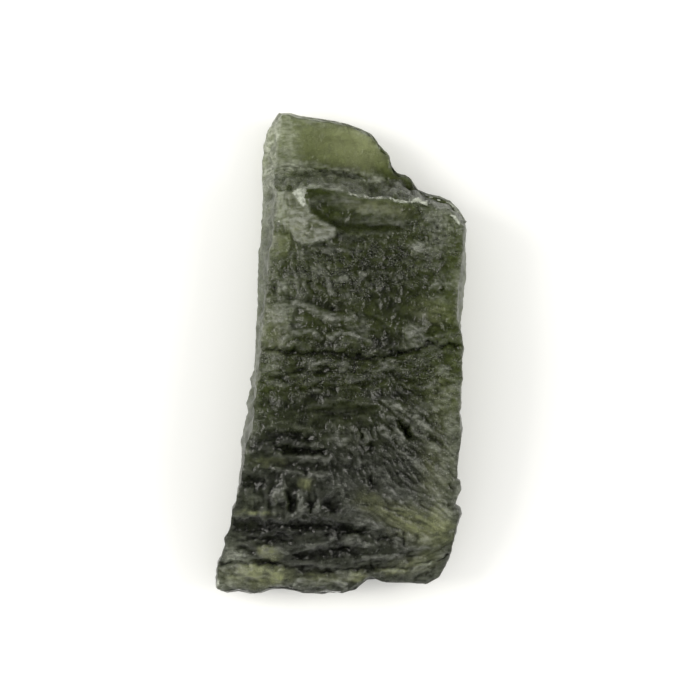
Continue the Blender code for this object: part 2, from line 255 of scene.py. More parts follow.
def inside(x, y, corners):
    """How far inside an outline a place is, and below 0 outside it."""
    away, _ = off_line(x, y, (*corners, corners[0]))
    within = np.zeros(np.shape(x), bool)
    for (ax, ay), (bx, by) in zip(corners, (*corners[1:], corners[0])):
        if ay != by:
            crosses = (ay > y) != (by > y)
            within ^= crosses & (x < ax + (y - ay) * (bx - ax) / (by - ay))
    return np.where(within, away, -away)


# The face's relief
# The face is a plateau with a ledge near the tip. Scars and mounds are where flakes came off,
# and the ribs and bowls between them are what the ground's acids etched.
LEDGE_FOOT = ((255, 168), (278, 170), (290, 167.5), (305, 169), (320, 171), (346, 171),
              (356, 174.5), (363, 180), (369, 187.5), (375, 187.5), (381, 183), (395, 179.5),
              (400, 180), (410, 189), (428, 200), (450, 207), (470, 226))
LEDGE_BROW = ((255, 194), (290, 194), (300, 190), (318, 188.5), (330, 190), (345, 194.5),
              (362, 199), (385, 200), (400, 203.5), (418, 203), (426, 207), (445, 212), (470, 236))
MAIN_GROOVE = ((210, 345), (262, 347), (280, 350), (300, 353), (330, 352), (345, 355),
               (360, 357), (375, 356), (390, 353), (405, 351), (418, 347), (430, 342),
               (440, 344), (450, 343), (470, 348))
DARK_EDGE = ((210, 515), (262, 516), (276, 519), (284, 522), (300, 513), (330, 517), (345, 521),
             (372, 525), (392, 531), (420, 541))
LOW_GROOVE = ((210, 561), (250, 560), (270, 560), (280, 563), (292, 566), (330, 569),
              (350, 566), (380, 567), (405, 566), (420, 563), (440, 556), (470, 546))
# Scars and mounds: mm deep or high, then the oval, which is x, y, two reaches and, where it is
# turned, the degrees.
SCARS = (
    (0.3, 302, 436, 26, 10, 4), (0.4, 300, 448, 34, 6, 2), (0.34, 250, 478, 17, 9, 10),
    (0.38, 292, 500, 7, 17), (0.26, 311, 506, 5, 12), (0.34, 330, 504, 13, 12),
    (0.4, 252, 524, 26, 10, 2), (0.32, 276, 537, 20, 6, 2), (0.38, 308, 524, 26, 8, 2),
    (0.42, 348, 528, 32, 7, 6), (0.3, 383, 536, 12, 6, 4), (0.34, 303, 553, 17, 7, -4),
    (0.34, 336, 549, 22, 8, -2), (0.3, 246, 548, 14, 7, 10), (0.34, 404, 429, 6, 16, -32),
    (0.22, 409, 556, 9, 9), (0.22, 434, 325, 20, 20), (0.3, 374, 183, 10, 8),
    (0.26, 361, 432, 4, 9, -12), (0.22, 369, 444, 4, 9, -20), (0.22, 370, 478, 6, 12, 10),
    (0.22, 275, 292, 7, 6, 20), (0.26, 322, 371, 15, 6), (0.14, 435, 414, 18, 5),
    (0.16, 345, 410, 38, 12),
)
MOUNDS = (
    (0.32, 278, 243, 19, 20), (0.36, 281, 314, 18, 17), (0.14, 281, 286, 8, 9),
    (0.3, 300, 341, 22, 12, -4), (0.28, 350, 342, 23, 12, 4), (0.3, 411, 333, 14, 13, 40),
    (0.26, 282, 488, 7, 12), (0.24, 302, 499, 5, 14), (0.18, 317, 504, 4, 10),
    (0.26, 268, 549, 15, 8, 14), (0.2, 354, 574, 12, 6, -14), (0.26, 255, 571, 33, 9),
    (0.18, 306, 586, 13, 8), (0.18, 328, 587, 15, 9), (0.2, 418, 226, 22, 14, 20),
    (0.16, 315, 363, 12, 6), (0.16, 342, 367, 9, 6, -30), (0.18, 385, 366, 9, 6, -14),
    (0.14, 441, 369, 8, 5, 10), (0.14, 430, 384, 8, 5, -10), (0.18, 318, 473, 13, 8),
    (0.16, 322, 456, 10, 6), (0.2, 303, 444, 11, 4, -8), (0.22, 306, 321, 17, 12, 20),
)
# A groove is a line, its depth in mm, its width in ticks, and how high its upper lip stands in mm.
GROOVES = (
    (MAIN_GROOVE, 0.20, 3.0, 0.22),
    (DARK_EDGE, 0.06, 4.0, 0.30),
    (LOW_GROOVE, 0.24, 3.0, 0.10),
    (((240, 389), (300, 389), (345, 384), (400, 378), (470, 386)), 0.14, 3.0, 0.10),
    (((240, 415), (300, 408), (350, 410), (380, 404)), 0.08, 4.0, 0.04),
    (((230, 459), (300, 462), (345, 470)), 0.12, 4.0, 0.08),
)
LIP_REACH = 26.0  # ticks, over which a lip fades
# Ridges and, where the height is below 0, furrows along lines: points, mm and width in ticks.
# The relief takes them a little higher than the list does, by the gain.
STROKE_GAIN = 1.4
STROKES = (
    (((277, 221), (285, 224.5), (293, 231), (297, 239), (302, 244), (315, 241), (324, 241),
      (336, 247)), 0.09, 1.8),
    (((302, 250), (312, 246), (322, 246), (332, 250), (342, 257)), -0.09, 2.2),
    (((298, 190), (318, 188.5), (336, 192), (350, 196), (385, 200), (404, 203),
      (426, 207)), 0.07, 1.8),
    (((306, 206), (310, 213), (320, 221.5), (335, 229.5), (345, 232), (365, 233)), -0.05, 2.0),
    (((300, 258), (312, 254), (324, 255), (336, 263)), -0.07, 2.2),
    (((278, 192), (277.5, 206), (278, 221)), 0.08, 2.0),
    (((290, 299), (310, 307.5), (325, 314.5), (341, 326)), 0.10, 5.0),
    (((284, 296), (297, 299), (310, 304), (322, 308), (340, 313)), -0.10, 2.6),
    (((281, 349), (284, 340), (293, 334), (305, 331.5), (314, 331), (319, 338),
      (322, 345)), 0.15, 2.4),
    (((330, 345), (332, 336), (340, 331), (352, 334), (366, 338), (374, 347)), 0.14, 2.4),
    (((326, 272), (327, 282), (330, 290), (334, 297)), 0.09, 2.2),
    (((331, 280), (334, 290), (339, 299)), -0.08, 2.5),
    (((400, 321), (409, 324), (417, 331), (424, 340), (416, 346), (404, 343)), 0.07, 1.8),
    (((262, 377), (285, 376), (298, 370), (310, 366), (322, 365), (334, 369),
      (342, 374)), -0.10, 2.5),
    (((380, 397), (388, 400), (395, 404), (405, 411)), 0.16, 3.0),
    (((410, 413), (418, 420), (425, 426), (433, 431)), 0.14, 2.8),
    (((386, 412), (392, 420), (399, 430), (405, 440)), 0.12, 2.5),
    (((396, 417), (403, 427), (409, 437)), -0.18, 3.2),
    (((376, 425), (384, 432), (391, 438)), 0.10, 2.5),
    (((412, 430), (424, 437), (436, 447), (441, 452)), 0.10, 2.4),
    (((424, 434), (434, 439), (442, 446)), -0.12, 2.6),
    (((392, 448), (404, 452), (418, 464), (430, 478)), 0.08, 2.4),
    (((362, 427), (365, 433), (369, 440)), 0.12, 1.8),
    (((430, 455), (436, 460), (444, 470)), -0.09, 2.0),
    (((445, 481), (449, 484), (453, 488)), -0.10, 1.2),
    (((272, 466), (285, 467), (296, 469), (306, 471)), 0.10, 2.0),
    (((279, 449.5), (295, 449), (312, 450), (328, 449)), -0.20, 2.8),
    (((276, 484), (274, 494), (276, 503)), 0.10, 2.2),
    (((286, 486), (288, 497), (292, 509)), -0.12, 2.4),
    (((299, 488), (301, 499), (302, 511)), 0.10, 2.2),
    (((318, 497), (317, 505), (319, 511)), 0.08, 1.8),
    (((344, 541), (354, 539), (362, 542), (374, 544)), 0.10, 2.0),
    (((304, 542), (312, 545), (322, 541), (334, 537)), 0.10, 2.0),
    (((360, 556), (374, 555), (388, 554), (400, 556)), 0.09, 1.8),
    (((350, 561), (370, 560), (400, 560.5)), -0.07, 1.8),
    (((378, 570), (390, 568.5), (402, 569)), 0.10, 1.8),
    (((400, 550), (412, 545), (430, 546)), 0.08, 2.0),
    (((408, 571), (420, 565), (432, 561), (446, 551)), 0.08, 1.8),
    (((410, 578), (424, 573), (438, 566)), -0.06, 1.8),
    (((293, 589), (297, 580), (303, 577.5), (310, 578), (315, 583)), 0.10, 1.8),
    (((315, 583), (322, 578.5), (332, 578), (342, 582), (347, 590)), 0.10, 1.8),
    (((300, 573), (320, 571.5), (340, 572)), -0.12, 2.2),
    (((402, 528), (403, 537), (402, 546)), -0.10, 2.0),
    (((393, 534), (396, 540), (395, 547)), 0.06, 1.6),
    (((221, 561), (250, 560), (272, 560), (284, 564)), -0.12, 2.0),
    (((258, 556), (266, 549), (272, 544)), 0.05, 1.8),
    (((378, 186), (392, 189), (408, 196), (424, 204)), 0.06, 1.6),
    (((384, 182), (398, 186), (414, 192), (434, 202)), -0.05, 1.6),
    (((446, 200), (452, 206), (459, 216)), 0.08, 1.4),
    (((449, 216), (454, 222), (458, 226)), 0.08, 1.2),
)
# Facets that lean: how many mm they rise in a tick to the right and down, then the oval.
FACETS = (
    (0.026, -0.010, 303, 227, 27, 14, 25), (0.026, 0.0, 281, 314, 14, 16),
    (-0.036, 0.008, 413, 334, 12, 15, -38), (-0.030, 0.014, 419, 249, 12, 7, 10),
    (0.018, 0.012, 315, 363, 12, 6), (0.024, 0.006, 342, 367, 8, 6, -30),
    (0.020, 0.008, 385, 366, 9, 6, -24), (0.026, 0.0, 232, 553, 12, 8),
    (0.02, 0.01, 363, 275, 5, 4), (0.02, 0.01, 340, 279, 8, 6), (-0.02, 0.01, 433, 285, 6, 4),
    (0.018, 0.004, 389, 303, 14, 14), (-0.015, 0.0, 307, 319, 15, 12),
)
# The finger-shaped scar: a shallow flake scar with a smooth floor and a sharp edge, which fades
# out towards the right.
SMOOTH_SCAR_DEPTH = 0.34  # mm
SMOOTH_SCAR_END, SMOOTH_SCAR_FADE = 450, 80  # the x of its end, and over how many ticks it fades
SMOOTH_SCAR = (
    (303, 191), (312, 190), (330, 191.5), (345, 196), (362, 200.5), (385, 201.5), (402, 205),
    (420, 206), (425, 214), (421, 226), (400, 232), (365, 233), (345, 232), (335, 229.5),
    (320, 221.5), (310, 213), (306, 205),
)
# Etched grain by region: x, y, reaches and turn of the region, then the turn, length and width
# of the grain in ticks and its depth in mm.
GRAIN = (
    (303, 226, 26, 17, 25, 25, 22, 6, 0.04),
    (320, 180, 75, 14, 0, 5, 8, 5, 0.14),
    (415, 195, 50, 16, 25, 24, 16, 4.5, 0.20),
    (440, 232, 32, 34, 0, 60, 10, 6, 0.10),
    (280, 215, 24, 26, 0, 80, 16, 7, 0.05),
    (380, 250, 110, 26, 0, 20, 10, 7, 0.06),
    (320, 278, 60, 28, 0, 62, 18, 8, 0.12),
    (400, 280, 70, 28, 0, 40, 14, 9, 0.08),
    (340, 325, 70, 28, 0, 45, 17, 11, 0.08),
    (430, 325, 34, 26, 0, 8, 18, 9, 0.04),
    (340, 372, 100, 26, 0, 2, 22, 9, 0.13),
    (430, 380, 44, 34, 0, 10, 20, 9, 0.11),
    (275, 400, 46, 40, 0, 8, 14, 9, 0.06),
    (345, 410, 48, 16, 0, 0, 28, 6, 0.04),
    (410, 420, 52, 40, 35, 38, 34, 6, 0.15),
    (415, 465, 52, 46, 40, 48, 38, 6, 0.12),
    (345, 450, 45, 42, 0, 62, 15, 9, 0.12),
    (290, 445, 58, 32, 0, 0, 18, 9, 0.13),
    (290, 495, 64, 30, 0, 88, 22, 9, 0.14),
    (345, 485, 24, 22, 0, 60, 14, 9, 0.04),
    (405, 515, 66, 34, 0, 27, 26, 6, 0.15),
    (305, 535, 92, 28, 0, 2, 20, 8, 0.14),
    (420, 552, 42, 26, -20, -24, 32, 7, 0.10),
    (330, 578, 105, 24, 0, 0, 26, 7, 0.10),
    (250, 572, 40, 26, 0, 18, 18, 8, 0.09),
)
# Where the grain is nearly etched away: ovals.
SMOOTH_PLACES = (
    (434, 322, 24, 22), (290, 318, 20, 14), (278, 246, 18, 16), (447, 455, 14, 26),
    (405, 218, 22, 16), (345, 484, 14, 14), (302, 340, 20, 9), (350, 341, 22, 9),
    (388, 318, 22, 34, 10), (306, 322, 14, 9, 20),
)
# Layers of noise: a height or a move, two lengths in ticks, and a seed. The swells are in mm, and
# the moves in ticks.
BODY_SWELLS = ((0.12, 34, 24, 3), (0.08, 18, 12, 4))
WEDGE_SWELLS = ((0.06, 22, 26, 5),)
FRAY_ACROSS = ((3.4, 9, 8, 51), (1.6, 3.6, 3.2, 52))
FRAY_DOWN = ((2.8, 10, 7, 53), (1.4, 3.8, 3, 54))
# The crumbled slope of the ledge: the ovals of its chips and of its grit, and mm.
CHIPPED_SLOPE, CHIP_DEPTH = (325, 177, 70, 15), 0.30
GRITTY_SLOPE, GRIT_DEPTH = (325, 177, 70, 13), 0.20


def waves(x, y, layers):
    """The layers of noise at a place, added up."""
    return sum(height * gradient_noise(x / length, y / width, seed)
               for height, length, width, seed in layers)


def frayed(x, y, amount=1.0):
    """Ruler places moved by two sizes of noise, so that a smooth outline comes out ragged."""
    return x + amount * waves(x, y, FRAY_ACROSS), y + amount * waves(x, y, FRAY_DOWN)


def strokes(x, y):
    """The height of the ridges and furrows, in mm, fading out at both ends of each."""
    x, y = frayed(x, y, 0.5)
    height = np.zeros(np.shape(x))
    for line, rise, width in STROKES:
        away, share = off_line(x, y, line)
        height += rise * np.exp(-((away / width) ** 2)) * eased(8 * share) * eased(8 * (1 - share))
    return height


def face_relief(x, y):
    """The relief above the face's smooth form, in mm: each list above, added up in turn."""
    smooth_x, smooth_y = x, y
    x, y = frayed(x, y)
    relief = waves(x, y, BODY_SWELLS)
    for depth, *place in SCARS:
        relief -= depth * oval(x, y, *place)
    for height, *place in MOUNDS:
        relief += height * oval(x, y, *place)
    for line, depth, width, lip in GROOVES:
        ends = eased((x - line[0][0]) / 12) * eased((line[-1][0] - x) / 12)
        ends = ends * (0.8 + 0.5 * gradient_noise(x / 24, y / 60, 58))
        above = curve_y(line, x) - y
        relief -= depth * ends * np.exp(-((above / width) ** 2))
        relief += lip * ends * np.exp(-np.abs(above) / LIP_REACH) * eased(above / 2.5 + 0.5)
    relief += STROKE_GAIN * strokes(smooth_x, smooth_y)
    for rise_x, rise_y, *place in FACETS:
        relief += oval(x, y, *place) * ((x - place[0]) * rise_x + (y - place[1]) * rise_y)
    x, y = smooth_x, smooth_y
    scar = eased(inside(x, y, SMOOTH_SCAR) / 7 + 0.3)
    scar = scar * eased((SMOOTH_SCAR_END - x) / SMOOTH_SCAR_FADE)
    clear = np.maximum.reduce([scar] + [pool(x, y, *place) for place in SMOOTH_PLACES])
    wander_x = x + 4 * gradient_noise(x / 20, y / 20, 6)
    wander_y = y + 4 * gradient_noise(x / 20, y / 20, 7)
    for i, (*place, turn, length, width, depth) in enumerate(GRAIN):
        along, across = turned(wander_x, wander_y, 0, 0, turn)
        scales = 0.5 - bowls(np.stack([along / length, across / width]), 40 + 3 * i)
        ripple = gradient_noise(1.6 * along / length, 1.6 * across / width, 41 + 3 * i)
        relief += depth * (0.6 * scales + 0.5 * ripple) * pool(x, y, *place) * (1 - 0.85 * clear)
    return relief - SMOOTH_SCAR_DEPTH * scar


def grain_streaks(x, y):
    """Fine noise drawn out along each region's grain, from about -1 to 1."""
    x, y = x + 3 * gradient_noise(x / 18, y / 18, 71), y + 3 * gradient_noise(x / 18, y / 18, 72)
    streaks = reach = 1e-6
    for i, (*place, turn, length, width, _) in enumerate(GRAIN):
        along, across = turned(x, y, 0, 0, turn)
        weight = pool(x, y, *place)
        noise = gradient_noise(along / (0.7 * length), across / (0.42 * width), 73 + i)
        streaks = streaks + weight * noise
        reach = reach + weight
    return streaks / np.maximum(reach, 0.6)


def face_height(x, y):
    """The face's height: the body and the wedge, joined by the ledge's crumbled slope."""
    foot, brow = curve_y(LEDGE_FOOT, x), curve_y(LEDGE_BROW, x)
    climb = eased((y - foot) / (brow - foot)) ** 0.8
    body = spot_height(x, y, BODY_SPOTS) + face_relief(x, y)
    wedge = spot_height(x, y, WEDGE_SPOTS) + waves(x, y, WEDGE_SWELLS)
    chips = bowls(np.stack([x / 8, y / 5]), 201) - 0.5
    crumble = CHIP_DEPTH * chips * oval(x, y, *CHIPPED_SLOPE)
    crumble += GRIT_DEPTH * gradient_noise(x / 4, y / 3, 203) * oval(x, y, *GRITTY_SLOPE)
    return wedge + (body - wedge) * climb + crumble


# The finish of the face, with painted light and shade
# Etching leaves a frosted skin, pale where chips scatter the light. Over it lie painted highlights
# on crests and on faces that catch the light, a painted glow where light would come through thin
# glass, and nearly black painted shade in deep pits, furrows and groove floors. Each patch is a
# share and an oval.
PALE_FACET = (
    (277, 192), (290, 194), (303, 196), (306, 205), (310, 213), (320, 221.5), (335, 230),
    (334, 238), (322, 242), (315, 242), (302, 246), (297, 240), (293, 231), (285, 225), (277, 221),
)
# The pale facet beside the finger-shaped scar is dull in one corner, and has a painted glow.
FACET_FROST, FACET_PAINTED_GLOW = 1.15, 0.25
DULL_CORNER, DULLING = (291, 204, 14, 9), 0.75
SMALL_FACET_FROST = 0.7
SMALL_FACET = ((407, 246), (417, 243), (432, 247), (426, 256), (417, 253))
# Crest lines that are frosted but not crushed, with painted highlights: a line, its width and its
# share.
PALE_LINES = (
    (((298, 190.5), (318, 188.5), (330, 190), (345, 194.5), (362, 199), (385, 200.5)), 1.2, 0.9),
    (((277, 221), (285, 224.5), (293, 231), (297, 239), (303, 244.5), (315, 241.5),
      (333, 237)), 1.5, 0.7),
)
# Frost patches: partly the frosted skin, partly painted highlights where faces catch the light.
FROST_AND_HIGHLIGHT_PATCHES = (
    (0.35, 314, 122, 16, 8, 8), (0.6, 286, 145, 22, 50), (0.2, 282, 142, 3, 30),
    (0.2, 292, 147, 3, 28), (1.0, 298, 167, 32, 9), (1.3, 374, 182, 16, 10),
    (0.6, 345, 170, 40, 6, 5), (0.25, 412, 180, 12, 10, 20), (0.4, 352, 179, 62, 12, 5),
    (0.2, 330, 187, 42, 4, 3), (0.22, 405, 193, 36, 8, 22), (0.25, 440, 206, 22, 10, 30),
    (0.5, 372, 211, 50, 13, 8), (0.6, 340, 201, 36, 8, 8), (0.5, 370, 223, 50, 6, 3),
    (0.6, 313, 205, 8, 8), (0.25, 278, 246, 18, 20), (0.4, 288, 226, 20, 9, 40),
    (0.45, 312, 242, 26, 8), (0.5, 325, 250, 26, 8, 10), (0.4, 282, 200, 5, 14),
    (0.5, 282, 178, 10, 16), (0.7, 281, 222, 10, 14), (0.4, 348, 250, 24, 8, 5),
    (0.75, 419, 249, 16, 10, 8), (0.6, 441, 226, 26, 28, 30), (0.35, 425, 214, 24, 8, 15),
    (0.35, 436, 250, 22, 14), (0.2, 268, 255, 10, 24), (0.55, 340, 279, 11, 8, -10),
    (0.55, 363, 275, 9, 7), (0.55, 433, 286, 9, 7), (0.42, 319, 272, 12, 14, -20),
    (0.45, 331, 289, 5, 13, -25), (0.4, 282, 288, 9, 14, 20), (0.25, 302, 284, 14, 10, 50),
    (0.6, 302, 256, 18, 8), (0.35, 296, 292, 16, 30, -10), (0.35, 296, 326, 10, 12),
    (0.25, 424, 262, 32, 12, 10), (0.28, 348, 297, 12, 10, 40), (0.22, 400, 279, 10, 8, 30),
    (0.35, 438, 300, 20, 6, 10), (0.4, 447, 282, 22, 16), (0.4, 396, 225, 26, 6),
    (0.68, 283, 316, 25, 28), (0.3, 280, 290, 14, 30), (0.35, 277, 262, 8, 12),
    (0.2, 264, 330, 9, 44), (0.45, 322, 313, 32, 10, 27), (0.48, 356, 322, 20, 15, 40),
    (0.7, 411, 334, 18, 17, 38), (0.4, 276, 355, 18, 16), (0.3, 432, 345, 20, 16),
    (0.35, 358, 331, 22, 8), (0.55, 315, 363, 17, 9), (0.6, 342, 367, 11, 9, -30),
    (0.38, 356, 379, 11, 6), (0.45, 384, 366, 12, 8, -20), (0.6, 441, 369, 10, 7, 10),
    (0.52, 430, 384, 14, 10), (0.35, 424, 360, 12, 9), (0.48, 444, 394, 10, 7),
    (0.5, 316, 390, 12, 3), (0.5, 434, 405, 26, 10), (0.45, 271, 368, 12, 20),
    (0.25, 283, 384, 16, 5), (0.5, 392, 404, 22, 6, 27), (0.25, 340, 410, 26, 7),
    (0.45, 452, 385, 14, 14), (0.45, 452, 420, 12, 18), (0.5, 449, 455, 14, 28),
    (0.5, 421, 422, 20, 7, 36), (0.45, 382, 431, 14, 6, 35), (0.5, 397, 432, 11, 6, 45),
    (0.48, 401, 442, 11, 6, 45), (0.42, 430, 446, 18, 7, 40), (0.45, 415, 468, 28, 9, 45),
    (0.35, 412, 420, 10, 20), (0.35, 338, 438, 14, 20, -30), (0.38, 440, 475, 16, 36),
    (0.4, 448, 425, 9, 30), (0.25, 391, 415, 10, 14, -35), (0.35, 362, 433, 4, 13, -15),
    (0.45, 361, 462, 14, 8), (0.3, 345, 484, 24, 20), (0.4, 384, 473, 9, 26, -50),
    (0.4, 318, 456, 13, 9), (0.35, 303, 457, 8, 5), (0.42, 320, 473, 13, 9), (0.3, 303, 445, 12, 3),
    (0.35, 345, 440, 12, 14), (0.3, 280, 491, 8, 13), (0.26, 302, 499, 5, 18),
    (0.3, 317, 500, 5, 14), (0.3, 277, 508, 12, 6), (0.25, 290, 470, 32, 3, 3),
    (0.15, 258, 496, 24, 7), (0.35, 355, 506, 26, 14, 10), (0.6, 370, 521, 26, 15, 20),
    (0.5, 395, 492, 32, 12, 25), (0.5, 353, 536, 14, 5), (0.38, 367, 542, 9, 4),
    (0.36, 308, 543, 8, 4), (0.4, 328, 538, 11, 4, -10), (0.55, 232, 553, 16, 9),
    (0.42, 381, 555, 30, 4, -4), (0.32, 375, 561, 38, 3), (0.36, 415, 548, 22, 5),
    (0.32, 396, 540, 6, 11), (0.3, 408, 536, 6, 10), (0.4, 304, 582, 17, 8),
    (0.32, 330, 584, 20, 7), (0.35, 430, 560, 28, 5, -30), (0.7, 283, 548, 13, 10),
    (0.3, 425, 500, 36, 22, 27), (0.6, 445, 508, 14, 22), (0.8, 456, 490, 8, 14),
    (0.35, 420, 538, 30, 10, -10), (0.6, 238, 560, 26, 30), (0.3, 310, 563, 32, 6),
    (0.4, 236, 584, 30, 9), (0.8, 220, 589, 8, 9), (0.6, 343, 574, 14, 12), (0.3, 285, 582, 24, 8),
    (0.4, 415, 568, 26, 10, -20), (0.3, 390, 566, 20, 6),
)
# Painted glow: patches lightened as though light came through thin glass.
PAINTED_GLOW_PATCHES = (
    (0.34, 340, 145, 80, 40, 8), (0.45, 378, 209, 52, 11, 8), (0.22, 362, 152, 40, 40, 20),
    (0.5, 297, 232, 24, 9, 38), (0.85, 268, 550, 18, 10, 14), (0.95, 251, 567, 20, 9),
    (0.85, 277, 573, 14, 10), (0.6, 258, 574, 50, 18), (0.9, 355, 574, 16, 8, -14),
    (0.7, 390, 569, 22, 4), (0.65, 306, 481, 11, 10, 40), (0.6, 258, 510, 28, 4),
    (0.38, 268, 460, 26, 6), (0.75, 418, 523, 50, 26, 20), (0.5, 440, 514, 16, 22),
    (0.4, 375, 503, 34, 18, 27), (0.35, 280, 245, 20, 20), (0.3, 432, 312, 34, 20),
    (0.3, 272, 330, 24, 40), (0.45, 415, 562, 40, 14, -14), (0.25, 440, 400, 22, 50),
    (0.3, 435, 470, 26, 50), (0.3, 320, 576, 34, 10),
)
# Painted shade: patches darkened in pits, below the ledge's step and in hollows.
PAINTED_SHADE_PATCHES = (
    (0.85, 330, 175, 40, 5, 4), (0.85, 350, 178, 18, 5, 12), (0.25, 310, 186, 30, 5, 5),
    (0.6, 286, 163, 7, 4, -20), (0.35, 336, 126, 13, 6), (0.6, 282, 115, 22, 7),
    (0.5, 345, 122, 38, 9, 14), (0.55, 408, 195, 34, 7, 18), (0.4, 445, 203, 22, 5, 30),
    (0.6, 290, 203, 13, 9), (0.45, 335, 226, 40, 6, 10), (0.35, 342, 236, 26, 7, 5),
    (0.35, 318, 206, 15, 13, 35), (0.22, 412, 222, 18, 14), (0.5, 350, 240, 44, 8, 5),
    (0.2, 268, 240, 10, 20), (0.4, 300, 254, 24, 6), (0.3, 330, 250, 18, 8, 20),
    (0.6, 275, 293, 7, 9), (0.4, 295, 272, 22, 8), (0.45, 380, 280, 50, 34),
    (0.5, 326, 303, 38, 7, 17), (0.35, 388, 304, 20, 22), (0.4, 392, 345, 26, 20),
    (0.25, 424, 324, 14, 10), (0.4, 310, 346, 40, 10), (0.35, 360, 352, 34, 12),
    (0.45, 385, 345, 26, 12), (0.55, 322, 372, 20, 6), (0.4, 290, 370, 16, 20),
    (0.7, 318, 398, 40, 14, -10), (0.4, 395, 410, 12, 5, 30), (0.35, 370, 374, 30, 8),
    (0.6, 395, 394, 34, 9), (0.5, 275, 403, 22, 14), (0.35, 433, 414, 22, 4),
    (0.35, 345, 412, 48, 12), (0.3, 300, 418, 34, 18), (0.4, 350, 424, 30, 7),
    (0.65, 403, 429, 6, 15, -32), (0.4, 435, 435, 9, 4, 20), (0.6, 362, 446, 8, 14, -10),
    (0.5, 383, 444, 5, 7, -20), (0.42, 396, 456, 5, 8, -20), (0.5, 357, 468, 4, 4),
    (0.45, 420, 317, 15, 14), (0.35, 376, 340, 14, 8), (0.45, 372, 395, 12, 14),
    (0.35, 336, 386, 9, 10), (0.35, 403, 392, 14, 8), (0.8, 369, 485, 10, 13, 10),
    (0.4, 392, 510, 10, 24, -35), (1.0, 290, 438, 32, 13), (0.7, 262, 446, 22, 8),
    (0.95, 303, 448, 38, 5, 3), (0.75, 266, 440, 26, 22), (0.85, 250, 475, 15, 12),
    (0.75, 266, 479, 14, 7), (0.8, 254, 484, 26, 10), (0.6, 238, 500, 12, 14),
    (0.5, 282, 474, 16, 7), (0.4, 280, 497, 22, 10), (0.9, 292, 499, 8, 21),
    (0.95, 311, 507, 5, 15), (0.9, 331, 503, 16, 11), (0.45, 271, 498, 8, 12),
    (0.25, 285, 465, 50, 18), (0.3, 250, 480, 34, 60), (0.25, 285, 446, 60, 20),
    (0.4, 268, 525, 60, 20), (1.0, 254, 523, 38, 11, 2), (1.0, 308, 525, 40, 12, 2),
    (0.95, 342, 527, 38, 9, 5), (0.85, 381, 536, 13, 6), (1.0, 268, 532, 46, 16, 2),
    (0.5, 250, 518, 30, 6), (0.9, 334, 534, 22, 16), (0.5, 355, 548, 20, 8),
    (0.65, 240, 541, 18, 9), (1.0, 303, 554, 26, 10, -3), (1.0, 336, 550, 30, 11, -2),
    (0.2, 388, 318, 14, 30), (0.4, 398, 380, 14, 22), (0.35, 375, 398, 22, 10, 20),
    (0.35, 285, 402, 26, 16), (0.6, 333, 343, 14, 8), (0.75, 246, 547, 16, 6, 10),
    (0.6, 409, 558, 8, 7), (0.6, 402, 537, 4, 13), (0.5, 429, 545, 8, 3), (0.4, 315, 566, 40, 3, 2),
    (0.5, 222, 573, 6, 7), (0.7, 447, 560, 14, 20, 25), (0.5, 430, 578, 24, 6),
    (0.6, 320, 588, 44, 7), (0.3, 256, 592, 26, 4), (0.6, 460, 353, 8, 10),
    (0.45, 452, 540, 10, 20, 15),
)
# Painted shade on the floors of two grooves: a line, its width and its share.
PAINTED_SHADE_LINES = ((MAIN_GROOVE, 2.6, 0.55), (LOW_GROOVE, 2.6, 0.50))
# How much more the etched domes sparkle, by their bump and by painted glint specks, than
# elsewhere, or less where the share is below 0.
FINE_GRAIN = (
    (0.9, 350, 270, 110, 44), (0.8, 330, 368, 120, 44), (0.6, 430, 230, 50, 50),
    (0.4, 420, 440, 60, 60), (0.5, 430, 375, 50, 44), (-0.9, 388, 310, 22, 30),
    (-0.9, 306, 320, 18, 14, 20), (-0.4, 345, 412, 60, 18), (-0.3, 280, 480, 60, 70),
)
# How frosted the upright sides are, with painted highlight where they catch the light: y and a
# share. The foot of the left side is paler.
PALE_FOOT, FOOT_FROST = (217, 590, 11, 13), 0.8
LEFT_FROST_AND_HIGHLIGHT = (
    (113, 1.05), (180, 1.00), (210, 0.65), (240, 0.30), (290, 0.10), (370, 0.05), (420, 0.25),
    (480, 0.10), (590, 0.15),
)
RIGHT_FROST_AND_HIGHLIGHT = ((200, 0.12), (325, 0.12), (340, 0.10), (360, 0.05), (590, 0.10))
# A chip of crushed glass at the end of the finger-shaped scar.
WHITE_CHIP = ((292, 194), (300, 190.5), (307, 189.5), (304.5, 199), (306, 208.5), (301, 207),
              (297, 200))
# Crushed edges, and along the ledge's rim painted highlights: a line, how wide it is, and the
# share of it that is white.
WHITE_RIMS_AND_HIGHLIGHTS = (
    (((300, 190), (318, 188.5), (330, 190)), 0.9, 0.30),
    (((330, 190), (345, 194.5), (350, 196)), 0.8, 0.40),
    (((350, 196), (362, 199), (385, 200), (396, 202)), 1.2, 0.70),
    (((394, 202.5), (400, 203.5), (418, 202.5), (425, 206.5)), 1.8, 0.95),
    (((446, 201), (453, 206.5), (459, 215)), 1.6, 0.85),
    (((428, 197), (436, 199), (444, 203)), 1.3, 0.60),
    (((450, 217), (454, 221), (458, 225)), 1.3, 0.65),
    (((277.5, 222), (285, 225), (292, 230)), 0.9, 0.45),
    (((217, 580), (217.5, 588), (221, 592)), 2.2, 0.80),
)


def patches(x, y, places):
    """The shares of the ovals at each place, added up, on the same frayed ruler as the relief."""
    x, y = frayed(x, y)
    return sum(share * oval(x, y, *place) for share, *place in places)


# The back, which rests on the floor
# It is a gently rounded break with etched pits. The lands between the pits are flat in the
# middle, where the stone rests.
FLAT_SPOT = (349, 374, 62, 120)  # x, y and two reaches
BACK_RISE, TIP_RISE = 0.95, 0.35  # mm, how much higher the back is at the rim and at the tip
BACK_WAVES = ((0.34, 28, 20, 21), (0.14, 15, 12, 22))  # layers of noise, in mm
BACK_BOWLS = 0.22  # mm
RIM_ROUNDING, RIM_WIDTH = 0.05, 2.5  # mm that the face drops at the rim, over so many ticks


